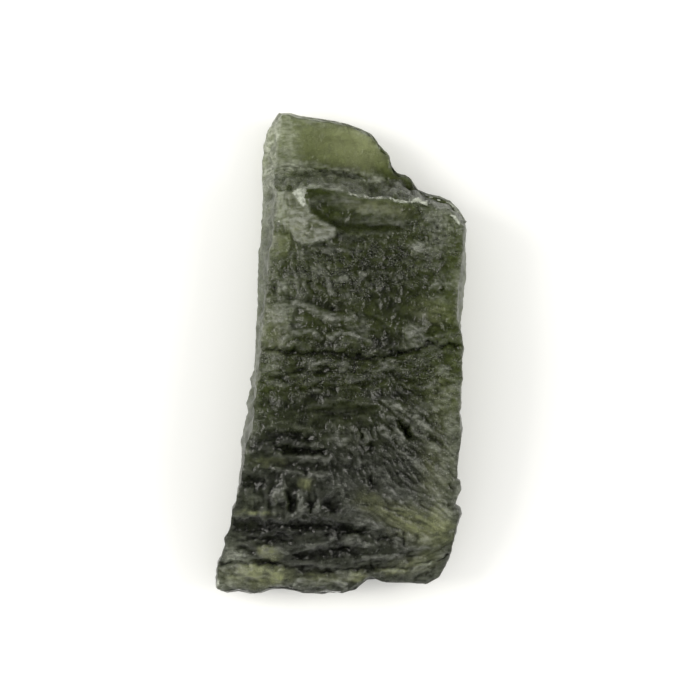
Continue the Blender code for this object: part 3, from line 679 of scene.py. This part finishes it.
def back_height(x, y, rim):
    """The back's height, never under 0: a slow rise towards the rim, and pits that go upwards."""
    centre_x, centre_y, reach_x, reach_y = FLAT_SPOT
    away = np.hypot((x - centre_x) / reach_x, (y - centre_y) / reach_y)
    rise = BACK_RISE * (0.45 * eased((away - 0.75) / 1.1) + 0.55 * eased((rim - 0.5) / 0.5))
    rise += TIP_RISE * eased((230 - y) / 110)
    pits = waves(x, y, BACK_WAVES) + BACK_BOWLS * (0.7 - bowls(np.stack([x / 17, y / 12]), 24))
    return np.maximum(rise + pits * eased((away - 0.3) / 0.6), 0.0)


def stone_points(a, b, c):
    """Where the points of a block from -1 to 1 go, in mm: a across, b up to the tip, c up.

    A point's level sets how far it is drawn in from the outline, the patch gives its place on
    the ruler, and its height lies between the back's and the face's there.
    """
    u, v, level = (a + 1) / 2, (b + 1) / 2, (c + 1) / 2
    width, height = STONE_RIGHT - STONE_LEFT, STONE_END - STONE_TOP
    side_y = STONE_END - v * height
    lean = np.clip((level - WIDEST_LEVEL) / (1 - WIDEST_LEVEL), 0, 1)
    tuck = TUCK * np.clip((WIDEST_LEVEL - level) / WIDEST_LEVEL, 0, 1) ** 2
    dents = DENTS * eased(np.abs(level - WIDEST_LEVEL) / 0.2)
    left_dent, right_dent, end_dent = (
        np.abs(gradient_noise(run / DENT_LENGTH, DENT_TIERS * level, seed))
        for run, seed in ((side_y, 31), (side_y, 32), (u * width, 33)))
    left = (curve_y(LEFT_LEAN, side_y) * lean + tuck + dents * left_dent) / width
    right_y = RIGHT_SIDE[-1][1] + v * (RIGHT_SIDE[0][1] - RIGHT_SIDE[-1][1])
    right = (curve_y(RIGHT_LEAN, right_y) * lean + tuck + RIGHT_DENTS * dents * right_dent) / width
    end = (END_LEAN * lean + tuck + dents * end_dent) / height
    u = left + u * (1 - left - right)
    v = v + end * ((1 - v) ** 4 - v**4)
    x, y = outline_patch(u, v)
    inwards = np.minimum((1 - np.abs(a)) * width / 2, (1 - np.abs(b)) * height / 2)
    face = face_height(x, y) - RIM_ROUNDING * np.exp(-inwards / RIM_WIDTH)
    back = back_height(x, y, np.maximum(np.abs(a), np.abs(b)))
    return np.stack([x * TICK, -y * TICK, back + (face - back) * level]), x, y, level


# The stone's surface
# It is a grid of rings along the stone. Each ring runs over the face, down the right side, back
# under the stone and up the left side, and at both ends smaller rings close it to a point.
FACE_COLUMNS, BACK_COLUMNS, SIDE_COLUMNS = 198, 60, 18
BODY_RINGS, END_RINGS = 300, 10
# The domes of the etching: their size in mm, how high they stand in mm, and a seed.
ETCH = ((0.80, 0.045, 301), (0.42, 0.028, 305), (0.24, 0.018, 309))
STREAK_DEPTH = 0.035  # mm
# The share of painted highlight that a ridge gains, and of painted shade that a furrow gains,
# for each mm.
CREST_PAINTED_HIGHLIGHT, FURROW_PAINTED_SHADE = 3.2, 3.0
# Larger bowls on the ledge's steep slope, the same way.
CRUMBLE = ((1.1, 0.30, 311), (0.55, 0.20, 315))
# The pits of the upright sides, the same way. They are drawn out with the height.
SIDE_PITS = ((2.4, 0.24, 321), (1.2, 0.20, 325), (0.6, 0.12, 329))
SIDE_DRAW = np.array([1.0, 1.0, 0.5]).reshape(3, 1, 1)
CALM_FLOOR = (360, 215, 60, 20, 8)  # the finger-shaped scar's floor, which is hardly etched
SHARP_ANGLE = 48  # degrees, from which an edge isn't smoothed
# How far the frost and the painted glow follow the streaks, and how much painted highlight a crest
# adds to the frost and how much painted shade it takes away, which a hollow gains instead.
STREAK_SHARE, PAINTED_CREST_LIGHT, LIT_CREST = 0.9, 0.20, 0.40
MOST_FROST_AND_HIGHLIGHT = 1.6
EVEN_GRAIN, CLIFF_GRAIN = 0.45, 0.7  # the grain away from the listed ovals, and on the ledge's slope
# Noise on the finish: its strength, two lengths in ticks, and a seed. On the sides the first
# length is a share of the way up.
FROST_AND_HIGHLIGHT_NOISE, PAINTED_GLOW_NOISE, PAINTED_SHADE_NOISE = ((0.4, 4, 3, 423),), ((0.5, 6, 4, 425),), ((0.5, 5, 3.5, 427),)
GRAIN_NOISE, WHITE_NOISE = ((0.9, 9, 6, 431),), ((0.7, 4, 3, 451),)
SIDE_NOISE = ((0.8, 0.5, 12, 421), (0.6, 0.2, 4, 422))
# A crest stands above the skin around it: rounds of softening and mm for fine and broad ones.
FINE_ROUNDS, BROAD_ROUNDS = 6, 60
FINE_CREST, BROAD_CREST = 0.02, 0.09


def ring_grid():
    """Block coordinates of all the rings: b along the stone, and (a, c) round a square."""
    over = np.linspace(-1, 1, FACE_COLUMNS, endpoint=False)
    down = np.linspace(1, -1, SIDE_COLUMNS, endpoint=False)
    under = np.linspace(1, -1, BACK_COLUMNS, endpoint=False)
    across = np.concatenate([over, np.full(SIDE_COLUMNS, 1.0), under, np.full(SIDE_COLUMNS, -1.0)])
    level = np.concatenate([np.full(FACE_COLUMNS, 1.0), down, np.full(BACK_COLUMNS, -1.0), -down])
    grow = np.arange(END_RINGS) / END_RINGS
    size = np.concatenate([grow, np.ones(BODY_RINGS), grow[::-1]])[:, None]
    along = np.concatenate([np.full(END_RINGS, -1.0), np.linspace(-1, 1, BODY_RINGS),
                            np.full(END_RINGS, 1.0)])[:, None]
    return across * size, along * np.ones_like(across), level * size


def grid_normals(points):
    """Unit normals of a ringed grid, from the cross product of its two central differences."""
    round_it = np.roll(points, -1, axis=2) - np.roll(points, 1, axis=2)
    along_it = np.gradient(points, axis=1)
    normal = np.cross(round_it, along_it, axis=0)
    return normal / np.maximum(np.linalg.norm(normal, axis=0), 1e-9)


def softened(values, rounds):
    """Each place's value mixed with its four neighbours' on the grid, so many times over."""
    for _ in range(rounds):
        ahead = np.concatenate([values[..., 1:, :], values[..., -1:, :]], axis=-2)
        behind = np.concatenate([values[..., :1, :], values[..., :-1, :]], axis=-2)
        beside = np.roll(values, 1, axis=-1) + np.roll(values, -1, axis=-1)
        values = values / 2 + (ahead + behind + beside) / 8
    return values


places, x, y, level = stone_points(*ring_grid())
outwards = grid_normals(places)
on_face = (level > 0.999).astype(float)
wedge = eased((curve_y(LEDGE_FOOT, x) - y) / 6) * on_face
facet = eased(inside(x, y, PALE_FACET) / 3 + 0.5) * on_face
calm = np.maximum.reduce([pool(x, y, *CALM_FLOOR) * on_face, wedge, 0.6 * facet])
# The places where shade is painted. The etching is calmer there too.
pits = np.clip(patches(x, y, PAINTED_SHADE_PATCHES), 0, 1) * on_face
cliff = eased((y - curve_y(LEDGE_FOOT, x)) / 3 + 0.5) * on_face
cliff *= eased((curve_y(LEDGE_BROW, x) - y) / 4 + 0.3)
for size, depth, seed in CRUMBLE:
    places = places + outwards * depth * (0.5 - bowls(places / size, seed)) * cliff
upright = eased((1 - level) / 0.2) * eased(level / 0.2)
off_rims = eased(np.abs(level - WIDEST_LEVEL) / 0.2) * upright
for size, depth, seed in SIDE_PITS:
    places = places + outwards * depth * (0.25 - bowls(places * SIDE_DRAW / size, seed)) * off_rims
strength = (1 - 0.8 * calm) * (2.0 - on_face) * (1 - 0.6 * pits)
for size, depth, seed in ETCH:
    places = places + outwards * depth * (0.5 - bowls(places / size, seed)) * strength
streaks = grain_streaks(x, y) * on_face * (1 - 0.7 * calm * (1 - facet))
places = places + outwards * STREAK_DEPTH * streaks
places[2] = np.maximum(places[2], 0.0)
near, far = softened(places, FINE_ROUNDS), softened(places, BROAD_ROUNDS)
fine_crest = np.clip(((places - near) * outwards).sum(axis=0) / FINE_CREST, -1, 1)
broad_crest = np.clip(((near - far) * outwards).sum(axis=0) / BROAD_CREST, -1, 1)
crest = 0.5 * fine_crest + 0.8 * broad_crest

# The four shares of the finish that the material reads: frost with painted highlights, painted
# glow, painted shade, and the grain, which sets the domes' bump, their painted glint specks and
# the painted shade between them.
# Frost, partly the skin's own and partly painted highlight on crests and light-catching faces.
frost_and_highlight = patches(x, y, FROST_AND_HIGHLIGHT_PATCHES)
frost_and_highlight += facet * (FACET_FROST - DULLING * oval(x, y, *DULL_CORNER))
frost_and_highlight += SMALL_FACET_FROST * eased(inside(x, y, SMALL_FACET) / 1.5 + 0.5)
for line, width, share in PALE_LINES:
    frost_and_highlight += share * np.exp(-((off_line(x, y, line)[0] / width) ** 2))
# Ridges get painted highlight and furrows painted shade.
drawn = strokes(x, y)
frost_and_highlight += CREST_PAINTED_HIGHLIGHT * np.maximum(drawn, 0)
# The sides' frost, with painted highlight where they catch the light.
left_frost_and_highlight = curve_y(LEFT_FROST_AND_HIGHLIGHT, y)
right_frost_and_highlight = curve_y(RIGHT_FROST_AND_HIGHLIGHT, y)
side_frost_and_highlight = left_frost_and_highlight + (right_frost_and_highlight - left_frost_and_highlight) * eased((x - 330) / 60)
side_frost_and_highlight = side_frost_and_highlight * (1 + waves(level, y, SIDE_NOISE))
side_frost_and_highlight += FOOT_FROST * oval(x, y, *PALE_FOOT)
frost_and_highlight = frost_and_highlight * on_face + side_frost_and_highlight * (1 - on_face)
frost_and_highlight = frost_and_highlight * (1 + STREAK_SHARE * streaks + waves(x, y, FROST_AND_HIGHLIGHT_NOISE))
frost_and_highlight = np.clip(frost_and_highlight + PAINTED_CREST_LIGHT * crest + 0.05 * streaks, 0, MOST_FROST_AND_HIGHLIGHT)
# Painted glow where light would come through the glass.
painted_glow = patches(x, y, PAINTED_GLOW_PATCHES) * on_face + FACET_PAINTED_GLOW * facet
uneven = (STREAK_SHARE * streaks + waves(x, y, PAINTED_GLOW_NOISE)) * (1 - wedge)
painted_glow = np.clip(painted_glow * (1 + uneven), 0, 1)
# Painted shade in pits, furrows and groove floors, lighter on crests and deeper in hollows.
painted_shade = pits + FURROW_PAINTED_SHADE * np.maximum(-drawn, 0)
ragged_x, ragged_y = frayed(x, y)
for line, width, share in PAINTED_SHADE_LINES:
    painted_shade += share * np.exp(-(((curve_y(line, ragged_x) - ragged_y) / width) ** 2))
painted_shade = painted_shade * on_face * (1 + waves(x, y, PAINTED_SHADE_NOISE))
painted_shade = np.clip(painted_shade - (LIT_CREST * crest + 0.10 * streaks) * (1 - 0.7 * pits), 0, 1)
clusters = 0.65 + waves(x, y, GRAIN_NOISE)
# The grain sets the domes' bump, their painted glint specks and the painted shade between them.
grain = np.clip((EVEN_GRAIN + patches(x, y, FINE_GRAIN)) * clusters, 0, 1)
grain = grain * (1 - 0.5 * calm) * (1 - 0.8 * painted_shade) * (0.5 + 0.5 * on_face)
grain = np.maximum(grain, CLIFF_GRAIN * cliff)
white = eased(inside(x, y, WHITE_CHIP) / 1.5 + 0.5)
for line, width, share in WHITE_RIMS_AND_HIGHLIGHTS:
    away, _ = off_line(x, y, line)
    broken = share + waves(x, y, WHITE_NOISE)
    white = np.maximum(white, (away < width) * (broken > 0.5))
white *= on_face

# The places are stretched to fill the solid's own box.
box = np.array(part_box("moldavite"))
low, high = places.min(axis=(1, 2)), places.max(axis=(1, 2))
fitted = (places - low[:, None, None]) / (high - low)[:, None, None]
fitted = fitted * (box[1] - box[0])[:, None, None] + box[0][:, None, None]

rings, columns = fitted.shape[1:]
number = np.arange(rings * columns).reshape(rings, columns)
low_corner, next_ring = number[:-1], number[1:]
quads = np.stack([low_corner, np.roll(low_corner, -1, axis=1),
                  np.roll(next_ring, -1, axis=1), next_ring], axis=-1).reshape(-1, 4)

mesh = bpy.data.meshes.new("etched_moldavite")
mesh.from_pydata(fitted.reshape(3, -1).T.tolist(), [], quads.tolist())
skin_and_painted_light = mesh.color_attributes.new("finish_and_painted_light", "FLOAT_COLOR", "POINT")
skin_and_painted_light.data.foreach_set("color", np.stack([frost_and_highlight, painted_glow, painted_shade, grain], axis=-1).ravel())
crushed_and_highlight_faces = white.ravel()[quads].mean(axis=1) > 0.5
mesh.polygons.foreach_set("material_index", crushed_and_highlight_faces.astype(np.int32))
stone = bpy.data.objects.new("etched_moldavite", mesh)
bpy.context.scene.collection.objects.link(stone)


# Etched natural glass
# Moldavite is a bottle-green natural glass with an acid-etched skin. The glass is nearly black
# where it is thick and green where light comes through, and a painted glow, painted shade and
# painted highlights are laid into its colour. The skin is a satin of tiny domes, and is grey-white
# where chips scatter the light, and painted grey-white on crests too.
def linear(code):
    """An sRGB hex colour as linear red, green, blue and 1."""
    shares = [int(code[i:i + 2], 16) / 255 for i in (1, 3, 5)]
    return (*(s / 12.92 if s <= 0.04045 else ((s + 0.055) / 1.055) ** 2.4 for s in shares), 1.0)


def add(tree, kind, inputs=(), **settings):
    """A new node with its settings.

    Each input is a value, a hex colour, a socket or a node, which stands for its first output.
    """
    node = tree.nodes.new("ShaderNode" + kind)
    for name, value in settings.items():
        setattr(node, name, value)
    for name, value in dict(inputs).items():
        if isinstance(value, bpy.types.Node):
            value = value.outputs[0]
        if isinstance(value, bpy.types.NodeSocket):
            tree.links.new(value, node.inputs[name])
        else:
            node.inputs[name].default_value = linear(value) if isinstance(value, str) else value
    return node


GLASS_IOR = 1.49
SEEN_THROUGH = 0.80  # the share of the glass that is seen through. The rest is its skin
DEEP_GREEN, DEEP_DENSITY = "#aebc81", 250.0  # the colour of thick glass, and its density per m
BODY_DARK, BODY_LIGHT, LOW_DARK, LOW_LIGHT = "#414b1c", "#6c773c", "#35382d", "#5f6354"
# Painted shade black, painted glow green, and the grey of frost and painted highlights.
PAINTED_SHADE_BLACK, PAINTED_GLOW_GREEN, FROST_GREY = "#050605", "#dfe5a6", "#f0f3e4"
GREEN_END, GREY_END = -0.002, -0.007  # m along the stone, between which green turns to grey
# Sizes are in metres. Real domes go down to a few hundredths of a millimetre. These are drawn
# coarser, 0.11 mm across, which is about two pixels.
DOME_SIZE, DOME_HEIGHT, WARP_SIZE = 0.00011, 0.00006, 0.00015
MOTTLE_SIZE, STREAK_SIZE, PIT_SIZE = 0.00050, 0.00034, 0.00022
SATIN_SIZE, SATIN_HEIGHT = 0.00030, 0.00008
SATIN_ROUGHNESS, FROST_ROUGHNESS, PIT_ROUGHNESS = 0.28, 0.25, 0.08
# A speck's frost is a painted glint.
PATCH_PAINTED_GLINT, LONE_PAINTED_GLINT = 0.7, 0.52  # the frost of a speck within a frosted patch and outside it
# Settings of a Math node, for a product and for a product and a sum, both held between 0 and 1.
PRODUCT = {"operation": "MULTIPLY", "use_clamp": True}
PRODUCT_PLUS = {"operation": "MULTIPLY_ADD", "use_clamp": True}
# A Mix node's two colours go into these inputs and come out mixed at this output.
UNDER, OVER, MIXED = 6, 7, 2

glass = bpy.data.materials.new("etched_natural_glass")
glass.use_nodes = True
tree = glass.node_tree
shader = tree.nodes["Principled BSDF"]
shader.inputs["IOR"].default_value = GLASS_IOR
shader.inputs["Transmission Weight"].default_value = SEEN_THROUGH

position = add(tree, "TexCoord").outputs["Object"]
drawn_out = add(tree, "Mapping", {"Vector": position, "Scale": (0.4, 1.0, 1.0)})
finish_and_painted_light = add(tree, "Attribute", attribute_name="finish_and_painted_light")
shares = add(tree, "SeparateColor", {"Color": finish_and_painted_light.outputs["Color"]}).outputs
frosting, painted_glow_share, painted_shade_share = shares["Red"], shares["Green"], shares["Blue"]
grain_and_painted_specks = finish_and_painted_light.outputs["Alpha"]

warp = add(tree, "TexNoise", {"Vector": position, "Scale": 1 / WARP_SIZE, "Detail": 1.0})
warped = add(tree, "VectorMath",
             {0: warp.outputs["Color"], 1: (DOME_SIZE, DOME_SIZE, DOME_SIZE), 2: position},
             operation="MULTIPLY_ADD")
domes = add(tree, "TexVoronoi", {"Vector": warped, "Scale": 1 / DOME_SIZE}).outputs
mottle, streak, pitting, satin = (
    add(tree, "TexNoise", {"Vector": place, "Scale": 1 / size, "Detail": detail,
                           "Roughness": roughness})
    for place, size, detail, roughness in (
        (position, MOTTLE_SIZE, 4.0, 0.62), (drawn_out, STREAK_SIZE, 4.0, 0.62),
        (drawn_out, PIT_SIZE, 2.0, 0.6), (position, SATIN_SIZE, 1.5, 0.6)))
patchy = add(tree, "MapRange", {"Value": mottle, "From Min": 0.36, "From Max": 0.64})

# A speck is a painted glint on the top of a bright dome, where the grain sparkles.
dome_colour = add(tree, "SeparateColor", {"Color": domes["Color"]})
bright_dome = add(tree, "MapRange", {"Value": dome_colour, "From Min": 0.45, "From Max": 1.0})
dome_top = add(tree, "MapRange", {"Value": domes["Distance"], "From Min": 0.48, "From Max": 0.18})
bright_top = add(tree, "Math", {0: dome_top, 1: bright_dome}, **PRODUCT)
painted_glint_speck = add(tree, "Math", {0: bright_top, 1: grain_and_painted_specks}, **PRODUCT)

# Frost is pitted and is thicker on the painted glint specks, which show a little without it too.
thin_frost = add(tree, "MapRange", {"Value": pitting, "From Min": 0.34, "From Max": 0.66,
                                    "To Min": 0.1125, "To Max": 0.75})
full_frost = add(tree, "Math", {0: painted_glint_speck, 1: PATCH_PAINTED_GLINT, 2: thin_frost}, **PRODUCT_PLUS)
patch_frost = add(tree, "Math", {0: frosting, 1: full_frost}, **PRODUCT)
frosted = add(tree, "Math", {0: painted_glint_speck, 1: LONE_PAINTED_GLINT, 2: patch_frost}, **PRODUCT_PLUS)

# Painted shade darkens the deep pits and the gaps between the domes.
streak_gain = add(tree, "MapRange", {"Value": streak, "From Min": 0.36, "From Max": 0.64,
                                     "To Min": 1.0, "To Max": 0.70})
painted_shade_amount = add(tree, "Math", {0: painted_shade_share, 1: streak_gain}, **PRODUCT)
dome_gap_painted_shade = add(tree, "MapRange", {"Value": domes["Distance"], "From Min": 0.42,
                                  "From Max": 0.60, "To Max": 0.8})
between = add(tree, "Math", {0: dome_gap_painted_shade, 1: grain_and_painted_specks}, **PRODUCT)

# The body's colour is mottled, green at the tip and greyer at the broken end. The painted glow,
# the painted shade of pits and gaps, and the frost with painted highlights are laid over it in turn.
upper_body, lower_body = (
    add(tree, "Mix", {"Factor": patchy, UNDER: dark, OVER: light},
        data_type="RGBA").outputs[MIXED]
    for dark, light in ((BODY_DARK, BODY_LIGHT), (LOW_DARK, LOW_LIGHT)))
along = add(tree, "SeparateXYZ", {"Vector": position}).outputs["Y"]
low_end = add(tree, "MapRange", {"Value": along, "From Min": GREEN_END, "From Max": GREY_END})
colour = upper_body
for amount, over in ((low_end, lower_body), (painted_glow_share, PAINTED_GLOW_GREEN), (painted_shade_amount, PAINTED_SHADE_BLACK),
                     (between, PAINTED_SHADE_BLACK), (frosted, FROST_GREY)):
    colour = add(tree, "Mix", {"Factor": amount, UNDER: colour, OVER: over},
                 data_type="RGBA").outputs[MIXED]

satin_frost = add(tree, "Math", {0: frosted, 1: FROST_ROUGHNESS, 2: SATIN_ROUGHNESS},
                  **PRODUCT_PLUS)
roughness = add(tree, "Math", {0: painted_shade_share, 1: PIT_ROUGHNESS, 2: satin_frost}, **PRODUCT_PLUS)
dome_bump = add(tree, "Bump", {
    "Height": domes["Distance"], "Strength": grain_and_painted_specks, "Distance": DOME_HEIGHT}, invert=True)
satin_bump = add(tree, "Bump", {
    "Height": satin, "Strength": 1.0, "Distance": SATIN_HEIGHT, "Normal": dome_bump})
absorption = add(tree, "VolumeAbsorption", {"Color": DEEP_GREEN, "Density": DEEP_DENSITY})
tree.links.new(colour, shader.inputs["Base Color"])
tree.links.new(roughness.outputs[0], shader.inputs["Roughness"])
tree.links.new(satin_bump.outputs[0], shader.inputs["Normal"])
tree.links.new(absorption.outputs[0], tree.nodes["Material Output"].inputs["Volume"])


# Crushed glass
# Where the glass was struck, on the ledge's edge and at corners, it is crushed to a fine white
# grit that no light comes through. It is dull and chalky beside the glass. Along the ledge's rim
# this white is partly painted highlight.
CRUSHED_DARK, CRUSHED_LIGHT = "#6f7365", "#aeb2a4"
CRUSHED_ROUGHNESS = 0.55
CRUSHED_SIZE, CRUSHED_HEIGHT = 0.0002, 0.00004  # m
DARK_STOP, LIGHT_STOP = 0.3, 0.7

crushed = bpy.data.materials.new("crushed_glass_and_rim_highlight")
crushed.use_nodes = True
crushed_tree = crushed.node_tree
crushed_shader = crushed_tree.nodes["Principled BSDF"]
crushed_shader.inputs["IOR"].default_value = GLASS_IOR
crushed_shader.inputs["Roughness"].default_value = CRUSHED_ROUGHNESS
crushed_place = add(crushed_tree, "TexCoord").outputs["Object"]
grit = add(crushed_tree, "TexNoise",
           {"Vector": crushed_place, "Scale": 1 / CRUSHED_SIZE, "Detail": 2.0})
grit_tone = add(crushed_tree, "ValToRGB", {"Fac": grit})
for stop, place, code in zip(grit_tone.color_ramp.elements, (DARK_STOP, LIGHT_STOP),
                             (CRUSHED_DARK, CRUSHED_LIGHT)):
    stop.position = place
    stop.color = linear(code)
grit_bump = add(crushed_tree, "Bump", {"Height": grit, "Distance": CRUSHED_HEIGHT})
crushed_tree.links.new(grit_tone.outputs["Color"], crushed_shader.inputs["Base Color"])
crushed_tree.links.new(grit_bump.outputs["Normal"], crushed_shader.inputs["Normal"])

mesh.materials.append(glass)
mesh.materials.append(crushed)
mesh.shade_smooth()
mesh.set_sharp_from_angle(angle=np.radians(SHARP_ANGLE))

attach(stone, "root")
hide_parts("moldavite")


# Floor
# A sheet of plain matt white paper, which shows nearly pure white and takes a soft shadow. It
# lies a hair lower than the stone's flat spot, so that the two don't share a plane.
FLOOR_REACH = 0.6  # m from the middle to an edge
FLOOR_LEVEL = -0.00002  # m
PAPER_WHITE, PAPER_ROUGHNESS = "#f4f4f2", 0.9

floor_mesh = bpy.data.meshes.new("floor")
floor_corners = [(x * FLOOR_REACH, y * FLOOR_REACH, FLOOR_LEVEL)
                 for x, y in ((-1, -1), (1, -1), (1, 1), (-1, 1))]
floor_mesh.from_pydata(floor_corners, [], [(0, 1, 2, 3)])
floor = bpy.data.objects.new("floor", floor_mesh)
bpy.context.scene.collection.objects.link(floor)
paper = bpy.data.materials.new("matt_white_paper")
paper.use_nodes = True
paper_shader = paper.node_tree.nodes["Principled BSDF"]
paper_shader.inputs["Base Color"].default_value = linear(PAPER_WHITE)
paper_shader.inputs["Roughness"].default_value = PAPER_ROUGHNESS
floor_mesh.materials.append(paper)


# Lights
# Two soft lights stand low at the left and the right, so that every ridge has a bright and a dark
# flank. The surround is plain white, and only the lights are mirrored in the glass.
LIGHT_DISTANCE = 0.5  # m
LIGHT_WHITE, SURROUND_WHITE = "#fffdf5", "#ffffff"
SURROUND_STRENGTH = 0.9
# Each light: its direction from the stone, its width and height in m, and its power in W.
SOFTBOXES = {
    "left_softbox": ((-1.0, 0.15, 0.62), 0.25, 0.4, 1.7),
    "right_softbox": ((1.0, 0.05, 0.62), 0.22, 0.4, 1.3),
}

for name, (aim, width, height, power) in SOFTBOXES.items():
    light = bpy.data.lights.new(name, "AREA")
    light.shape, light.size, light.size_y, light.energy = "RECTANGLE", width, height, power
    light.color = linear(LIGHT_WHITE)[:3]
    lamp = bpy.data.objects.new(name, light)
    direction = Vector(aim).normalized()
    lamp.location = direction * LIGHT_DISTANCE
    lamp.rotation_mode = "QUATERNION"
    lamp.rotation_quaternion = direction.to_track_quat("Z", "Y")
    lamp.visible_camera = False
    bpy.context.scene.collection.objects.link(lamp)

world = bpy.data.worlds.new("studio")
bpy.context.scene.world = world
world.use_nodes = True
surround = world.node_tree.nodes["Background"]
surround.inputs["Color"].default_value = linear(SURROUND_WHITE)
surround.inputs["Strength"].default_value = SURROUND_STRENGTH
world.cycles_visibility.glossy = False
bpy.context.scene.view_settings.view_transform = "Standard"
